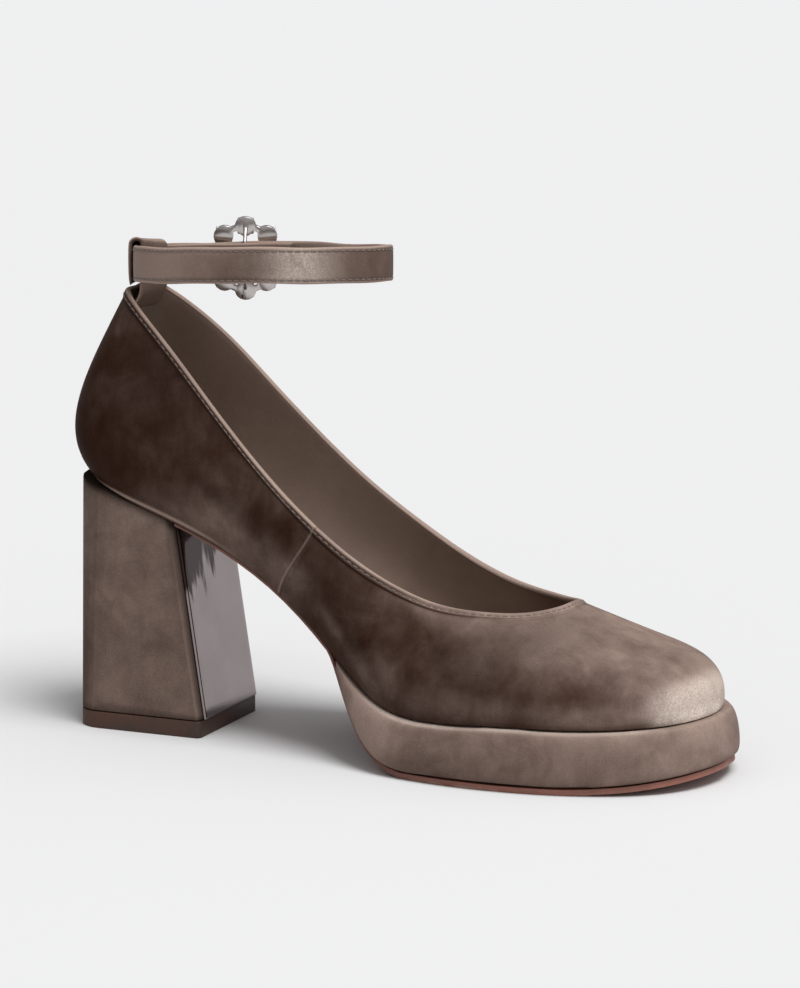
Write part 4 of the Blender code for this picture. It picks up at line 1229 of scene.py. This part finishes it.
def make_heel_plate():
    piece = copy_node("heel_plate", "mirror_plate")
    round_edges(piece, pump_sizes().hard_edge, angle=25.0)
    subdivide(piece, 4, "SIMPLE")
    smooth_by_angle(piece, 30.0)
    points = points_of(piece)
    # Painted reflection of the dark arch: the top of the plate is darkened, deeper on the inner side.
    under = bottom_height(points[:, 0]) - points[:, 2]
    across = ease(points[:, 1].min(), points[:, 1].max(), points[:, 1])
    paint(piece, shade=1.0 - ease(0.0, 1.0, under / mix(PLATE_PAINTED_REFLECTION, PLATE_PAINTED_REFLECTION_FAR, across)))
    mirror = polished_metal("plate_mirror", pump_colours().plate, rough=0.05, ripple=0.0005)
    place_piece(piece, mirror, "plate_metal", "heel_plate")


def ankle_point(angle, out):
    """Plan point on the ankle loop, by its turn from the back to the outer side, moved out."""
    a = ANKLE_LENGTH / 2
    b = ANKLE_WIDTH / 2
    turn = np.radians(angle)
    square = unit(np.stack([-np.cos(turn) * b, np.sin(turn) * a], axis=-1))
    place = np.stack([ANKLE_BACK_X + a - a * np.cos(turn), b * np.sin(turn)], axis=-1)
    return place + square * np.asarray(out)[..., None], square


def strap_height(angle):
    """Height of the middle of the strap, which climbs to the front and to the inner side of the ankle."""
    turn = np.radians(angle)
    return STRAP_BACK_Z + STRAP_FRONT_RISE * (1.0 - np.cos(turn)) / 2 - STRAP_INNER_RISE * np.sin(turn)


def strap_line():
    """Turns along the strap from its hidden end to its tail, its middle points and its outward directions."""
    angle = np.linspace(BUCKLE_ANGLE + UNDER_END_ANGLE, TAIL_END_ANGLE - 360.0, STRAP_STEPS)
    past = angle + 360.0 - BUCKLE_ANGLE
    out = np.zeros(len(angle))
    for low, high in zip(STRAP_LAYERS, STRAP_LAYERS[1:]):
        start, end = (row.on_strap * OUTER_LAYER + row.on_bar * OVER_BAR for row in (low, high))
        inside = (past >= low.past) & (past <= high.past)
        out[inside] = mix(start, end, ease(low.past, high.past, past[inside]))
    place, square = ankle_point(angle, out)
    return angle, np.column_stack([place, strap_height(angle)]), np.column_stack([square, np.zeros(len(angle))])


def strap_section():
    """Points around the strap's section, each by its distance across the strap and out of its middle."""
    w = STRAP_WIDTH / 2
    t = STRAP_THICK / 2
    flat = w - t * EDGE_ROUND
    stitches = w - pump_sizes().strap_inset / MM
    face = np.linspace(-1.0, 1.0, FACE_POINTS) * flat
    crown = t + STRAP_CROWN * (1.0 - (face / w) ** 2) - stroke(STRAP_PULL, np.abs(face) - stitches)
    turns = np.radians(np.linspace(EDGE_TURN, -EDGE_TURN, EDGE_POINTS))
    right = [(flat + t * EDGE_ROUND * math.cos(turn), t * math.sin(turn)) for turn in turns]
    left = [(-across, out) for across, out in right[::-1]]
    back = [(-across, -t) for across in np.linspace(-1.0, 1.0, BACK_POINTS) * flat]
    return np.array(list(zip(face, crown)) + right + back + left)


def make_strap():
    angle, middle, outward = strap_line()
    section = strap_section()
    w = STRAP_WIDTH / 2
    edge = w - np.abs(section[:, 0])
    front = section[:, 1] > FRONT_FROM
    rings, pale, shade, bright = [], [], [], []
    for turn, spot, side, along in zip(angle, middle, outward, run_along(middle)):
        wave = sum(row.height * math.sin(along / row.length + row.start) for row in EDGE_WAVES)
        across = section[:, 0] + wave * (np.abs(section[:, 0]) / w) ** 2
        rings.append(spot + side * section[:, 1:] + UP * across[:, None])
        # Painted highlight on the folded edges, painted shade along the stitch lines and a painted highlight
        # patch, on the outer face only.
        pale.append(front * stroke(STRAP_PALE, edge))
        shade.append(front * stroke(STRAP_SHADE, edge))
        bright.append(front * stroke(STRAP_GLEAM, turn))
    count = len(section)
    faces = grid_faces(len(rings), count, False)
    faces += [list(range(count)), list(range((len(rings) - 1) * count, len(rings) * count))]
    piece = link_mesh("strap_band", to_model(np.concatenate(rings)), faces)
    paint(piece, pale=pale, shade=shade, bright=bright)
    cloth = velvet("strap_velvet", painted_light_from=(-0.45, 0.0, 0.5), lift=0.605, contrast=0.55)
    place_piece(piece, cloth, "velvet_strap", "ankle_strap")
    thread = thread_finish("strap_thread")
    level = w - pump_sizes().strap_inset / MM
    for name, height in (("strap_stitches_high", level), ("strap_stitches_low", -level)):
        line = middle + outward * (STRAP_THICK / 2 + STRAP_PROUD) + UP * height
        place_piece(thread_row(name, line, outward, False), thread, "velvet_strap")
    make_strap_holes(cloth)
    loop = copy_node("back_loop", "strap_keeper")
    subdivide(loop, 2)
    bpy.ops.object.shade_smooth()
    place_piece(loop, cloth, "velvet_strap", "back_loop")


def make_strap_holes(cloth):
    """Punched holes on the outer face of the strap, each with a pressed lip and a middle painted dark as the
    shade inside the hole.
    """
    angle, middle, outward = strap_line()
    places = []
    for turn in HOLE_TURNS:
        nearest = int(np.argmin(np.abs(angle - turn)))
        face = middle[nearest] + outward[nearest] * (STRAP_THICK / 2 + STRAP_CROWN)
        places.append((to_model(face), np.cross(UP, outward[nearest]), UP, outward[nearest]))
    shape = draw_up("hole", HOLE_SIDES, HOLE)
    piece = copy_shape(shape, "strap_holes", places)
    bpy.data.objects.remove(shape)
    # Painted shade: the inner rings of each hole are painted dark.
    inside = [ring.radius < HOLE_INSIDE for ring in HOLE]
    paint(piece, shade=np.tile(np.repeat(inside, HOLE_SIDES), len(HOLE_TURNS)))
    place_piece(piece, cloth, "velvet_strap")


def buckle_axes():
    """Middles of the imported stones, and the along and outward directions of the ring that they sit on."""
    centres = []
    for number in range(1, STONE_COUNT + 1):
        low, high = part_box(f"stone_{number}")
        centres.append((np.array(low) + np.array(high)) / 2)
    along = centres[0] - centres[STONE_COUNT // 2]
    along[2] = 0.0
    along = unit(along)
    return centres, along, np.cross(along, UP)


def make_stones():
    centres, along, outward = buckle_axes()
    foil = crystal("stone_crystal", pump_colours().stone)
    shape = draw_up("stone", STONE_SIDES, STONE)
    make_active(shape)
    bpy.ops.object.mode_set(mode="EDIT")
    bpy.ops.mesh.select_all(action="SELECT")
    bpy.ops.mesh.quads_convert_to_tris(quad_method="BEAUTY", ngon_method="BEAUTY")
    bpy.ops.object.mode_set(mode="OBJECT")
    middles = np.array([facet.center for facet in shape.data.polygons]) / MM
    order = np.lexsort(np.round(middles, FACET_DIGITS).T)
    # Painted reflection: each facet gets a random share of light, from dark to the foil's colour.
    lights = np.empty(len(order))
    for number, centre in enumerate(centres, 1):
        seat = centre - outward * STONE_SEAT * MM
        piece = copy_shape(shape, f"cut_stone_{number}", [(seat, along, UP, outward)])
        bpy.ops.object.shade_flat()
        lights[order] = np.random.default_rng(number).random(len(order)) ** FACET_POWER
        layer = piece.data.attributes.new("facet", "FLOAT", "FACE")
        layer.data.foreach_set("value", lights.astype(np.float32))
        place_piece(piece, foil, "crystal", f"stone_{number}")
    bpy.data.objects.remove(shape)


def make_buckle():
    metal = polished_metal("buckle_plating", pump_colours().buckle, rough=0.16, ripple=0.0001)
    ring = copy_node("buckle_frame", "buckle_ring")
    round_edges(ring, pump_sizes().hard_edge, segments=2, angle=40.0)
    smooth_by_angle(ring)
    place_piece(ring, metal, "buckle_metal", "buckle_frame")
    centres, along, outward = buckle_axes()
    places = []
    for centre in centres:
        for turn in (np.arange(CLAW_COUNT) + 0.5) * 2 * math.pi / CLAW_COUNT:
            radial = along * math.cos(turn) + UP * math.sin(turn)
            foot = centre + (radial * CLAW_REACH - outward * STONE_SEAT) * MM
            places.append((foot, radial, np.cross(outward, radial), outward))
    shape = draw_up("claw", CLAW_SIDES, CLAW)
    claws = copy_shape(shape, "stone_claws", places)
    bpy.data.objects.remove(shape)
    place_piece(claws, metal, "buckle_metal")


def direction(azimuth, elevation):
    """Unit vector to a place around the shoe; azimuth 0 is the inner side, a quarter turn the toe."""
    level = math.cos(elevation)
    return Vector((math.sin(azimuth) * level, -math.cos(azimuth) * level, math.sin(elevation)))


def make_key(studio):
    """Large soft light that comes evenly from beyond the toe."""
    data = bpy.data.lights.new("key_light", "SUN")
    data.energy = studio.key
    data.angle = studio.key_spread
    light = bpy.data.objects.new("key_light", data)
    bpy.context.scene.collection.objects.link(light)
    towards = direction(studio.key_azimuth, studio.key_elevation)
    light.location = towards
    light.rotation_euler = (-towards).to_track_quat("-Z", "Y").to_euler()


def make_air(studio):
    """Light from all round, which grows towards one side of the sky."""
    world = bpy.data.worlds.new("studio_air")
    world.use_nodes = True
    tree = world.node_tree
    place = tree.nodes.new("ShaderNodeTexCoord")
    towards = tree.nodes.new("ShaderNodeVectorMath")
    towards.operation = "DOT_PRODUCT"
    towards.inputs[1].default_value = direction(studio.key_azimuth, studio.air_elevation)
    rise = tree.nodes.new("ShaderNodeMapRange")
    rise.interpolation_type = "SMOOTHSTEP"
    rise.inputs["From Min"].default_value = AIR_START
    rise.inputs["To Min"].default_value = studio.air_low
    rise.inputs["To Max"].default_value = studio.air_high
    shade = tree.nodes["Background"]
    shade.inputs["Color"].default_value = AIR_COLOUR
    tree.links.new(place.outputs["Generated"], towards.inputs[0])
    tree.links.new(towards.outputs["Value"], rise.inputs["Value"])
    tree.links.new(rise.outputs["Result"], shade.inputs["Strength"])
    bpy.context.scene.world = world


def make_floor(colour):
    deselect_all()
    bpy.ops.mesh.primitive_plane_add(size=FLOOR_SIZE, location=(0, 0, 0))
    floor = bpy.context.object
    floor.name = "studio_floor"
    f = Finish("floor_paper")
    tone = f.noise(2.0, detail=2.0, rough=0.5)
    f.set(Base_Color=f.blend(tone, tint(colour, 0.985), colour), Roughness=0.9, Specular_IOR_Level=0.1)
    floor.data.materials.append(f.material)


def make_camera(studio):
    aim = Vector(to_model(CAMERA_AIM))
    back = direction(studio.azimuth, studio.elevation)
    data = bpy.data.cameras.new("studio_camera")
    camera = bpy.data.objects.new("studio_camera", data)
    bpy.context.scene.collection.objects.link(camera)
    camera.location = aim + back * studio.distance
    camera.rotation_euler = (-back).to_track_quat("-Z", "Y").to_euler()
    frame_height = studio.frame_width * PHOTO_HEIGHT / PHOTO_WIDTH
    data.lens = data.sensor_width * studio.distance / frame_height
    data.clip_end = CAMERA_REACH
    bpy.context.scene.camera = camera


def make_studio():
    studio = bpy.context.scene.pump_studio
    make_floor(studio.floor)
    make_camera(studio)
    make_air(studio)
    make_key(studio)
    bpy.context.scene.view_settings.view_transform = "Standard"


class PUMP_OT_upper(Operator):
    """Builds the velvet upper with its lining, folded band and side seam"""

    bl_idname = "pump.upper"
    bl_label = "Upper"

    def execute(self, context):
        make_upper()
        make_topline_stitches()
        return {"FINISHED"}


class PUMP_OT_soles(Operator):
    """Builds the sock, the covered platform and the outsole"""

    bl_idname = "pump.soles"
    bl_label = "Sock, platform and outsole"

    def execute(self, context):
        make_sock()
        make_platform()
        make_outsole()
        return {"FINISHED"}


class PUMP_OT_heel(Operator):
    """Builds the covered heel, its top lift and its mirror plate"""

    bl_idname = "pump.heel"
    bl_label = "Heel"

    def execute(self, context):
        make_heel()
        make_top_lift()
        make_heel_plate()
        return {"FINISHED"}


class PUMP_OT_strap(Operator):
    """Builds the ankle strap with its stitches and the loop that holds it"""

    bl_idname = "pump.strap"
    bl_label = "Ankle strap"

    def execute(self, context):
        make_strap()
        return {"FINISHED"}


class PUMP_OT_buckle(Operator):
    """Builds the buckle's ring, its claws and its stones"""

    bl_idname = "pump.buckle"
    bl_label = "Buckle"

    def execute(self, context):
        make_buckle()
        make_stones()
        return {"FINISHED"}


class PUMP_OT_studio(Operator):
    """Builds the floor, the lights and the camera"""

    bl_idname = "pump.studio"
    bl_label = "Studio"

    def execute(self, context):
        make_studio()
        return {"FINISHED"}


class PUMP_PT_panel(Panel):
    bl_label = "Pump"
    bl_idname = "PUMP_PT_panel"
    bl_space_type = "VIEW_3D"
    bl_region_type = "UI"
    bl_category = "Pump"

    def draw(self, context):
        for operator in OPERATORS:
            self.layout.operator(operator.bl_idname)
        for group in ("pump_sizes", "pump_colours", "pump_studio"):
            box = self.layout.box()
            settings = getattr(context.scene, group)
            for name in settings.__annotations__:
                box.prop(settings, name)


GROUPS = {"pump_sizes": PumpSizes, "pump_colours": PumpColours, "pump_studio": PumpStudio}
OPERATORS = (PUMP_OT_upper, PUMP_OT_soles, PUMP_OT_heel, PUMP_OT_strap, PUMP_OT_buckle, PUMP_OT_studio)


def register():
    for made in (*GROUPS.values(), *OPERATORS, PUMP_PT_panel):
        bpy.utils.register_class(made)
    for name, group in GROUPS.items():
        setattr(bpy.types.Scene, name, PointerProperty(type=group))


def unregister():
    for name in GROUPS:
        delattr(bpy.types.Scene, name)
    for made in reversed((*GROUPS.values(), *OPERATORS, PUMP_PT_panel)):
        bpy.utils.unregister_class(made)


def main():
    register()
    bpy.ops.pump.upper()
    bpy.ops.pump.soles()
    bpy.ops.pump.heel()
    bpy.ops.pump.strap()
    bpy.ops.pump.buckle()
    bpy.ops.pump.studio()


if __name__ == "__main__":
    main()
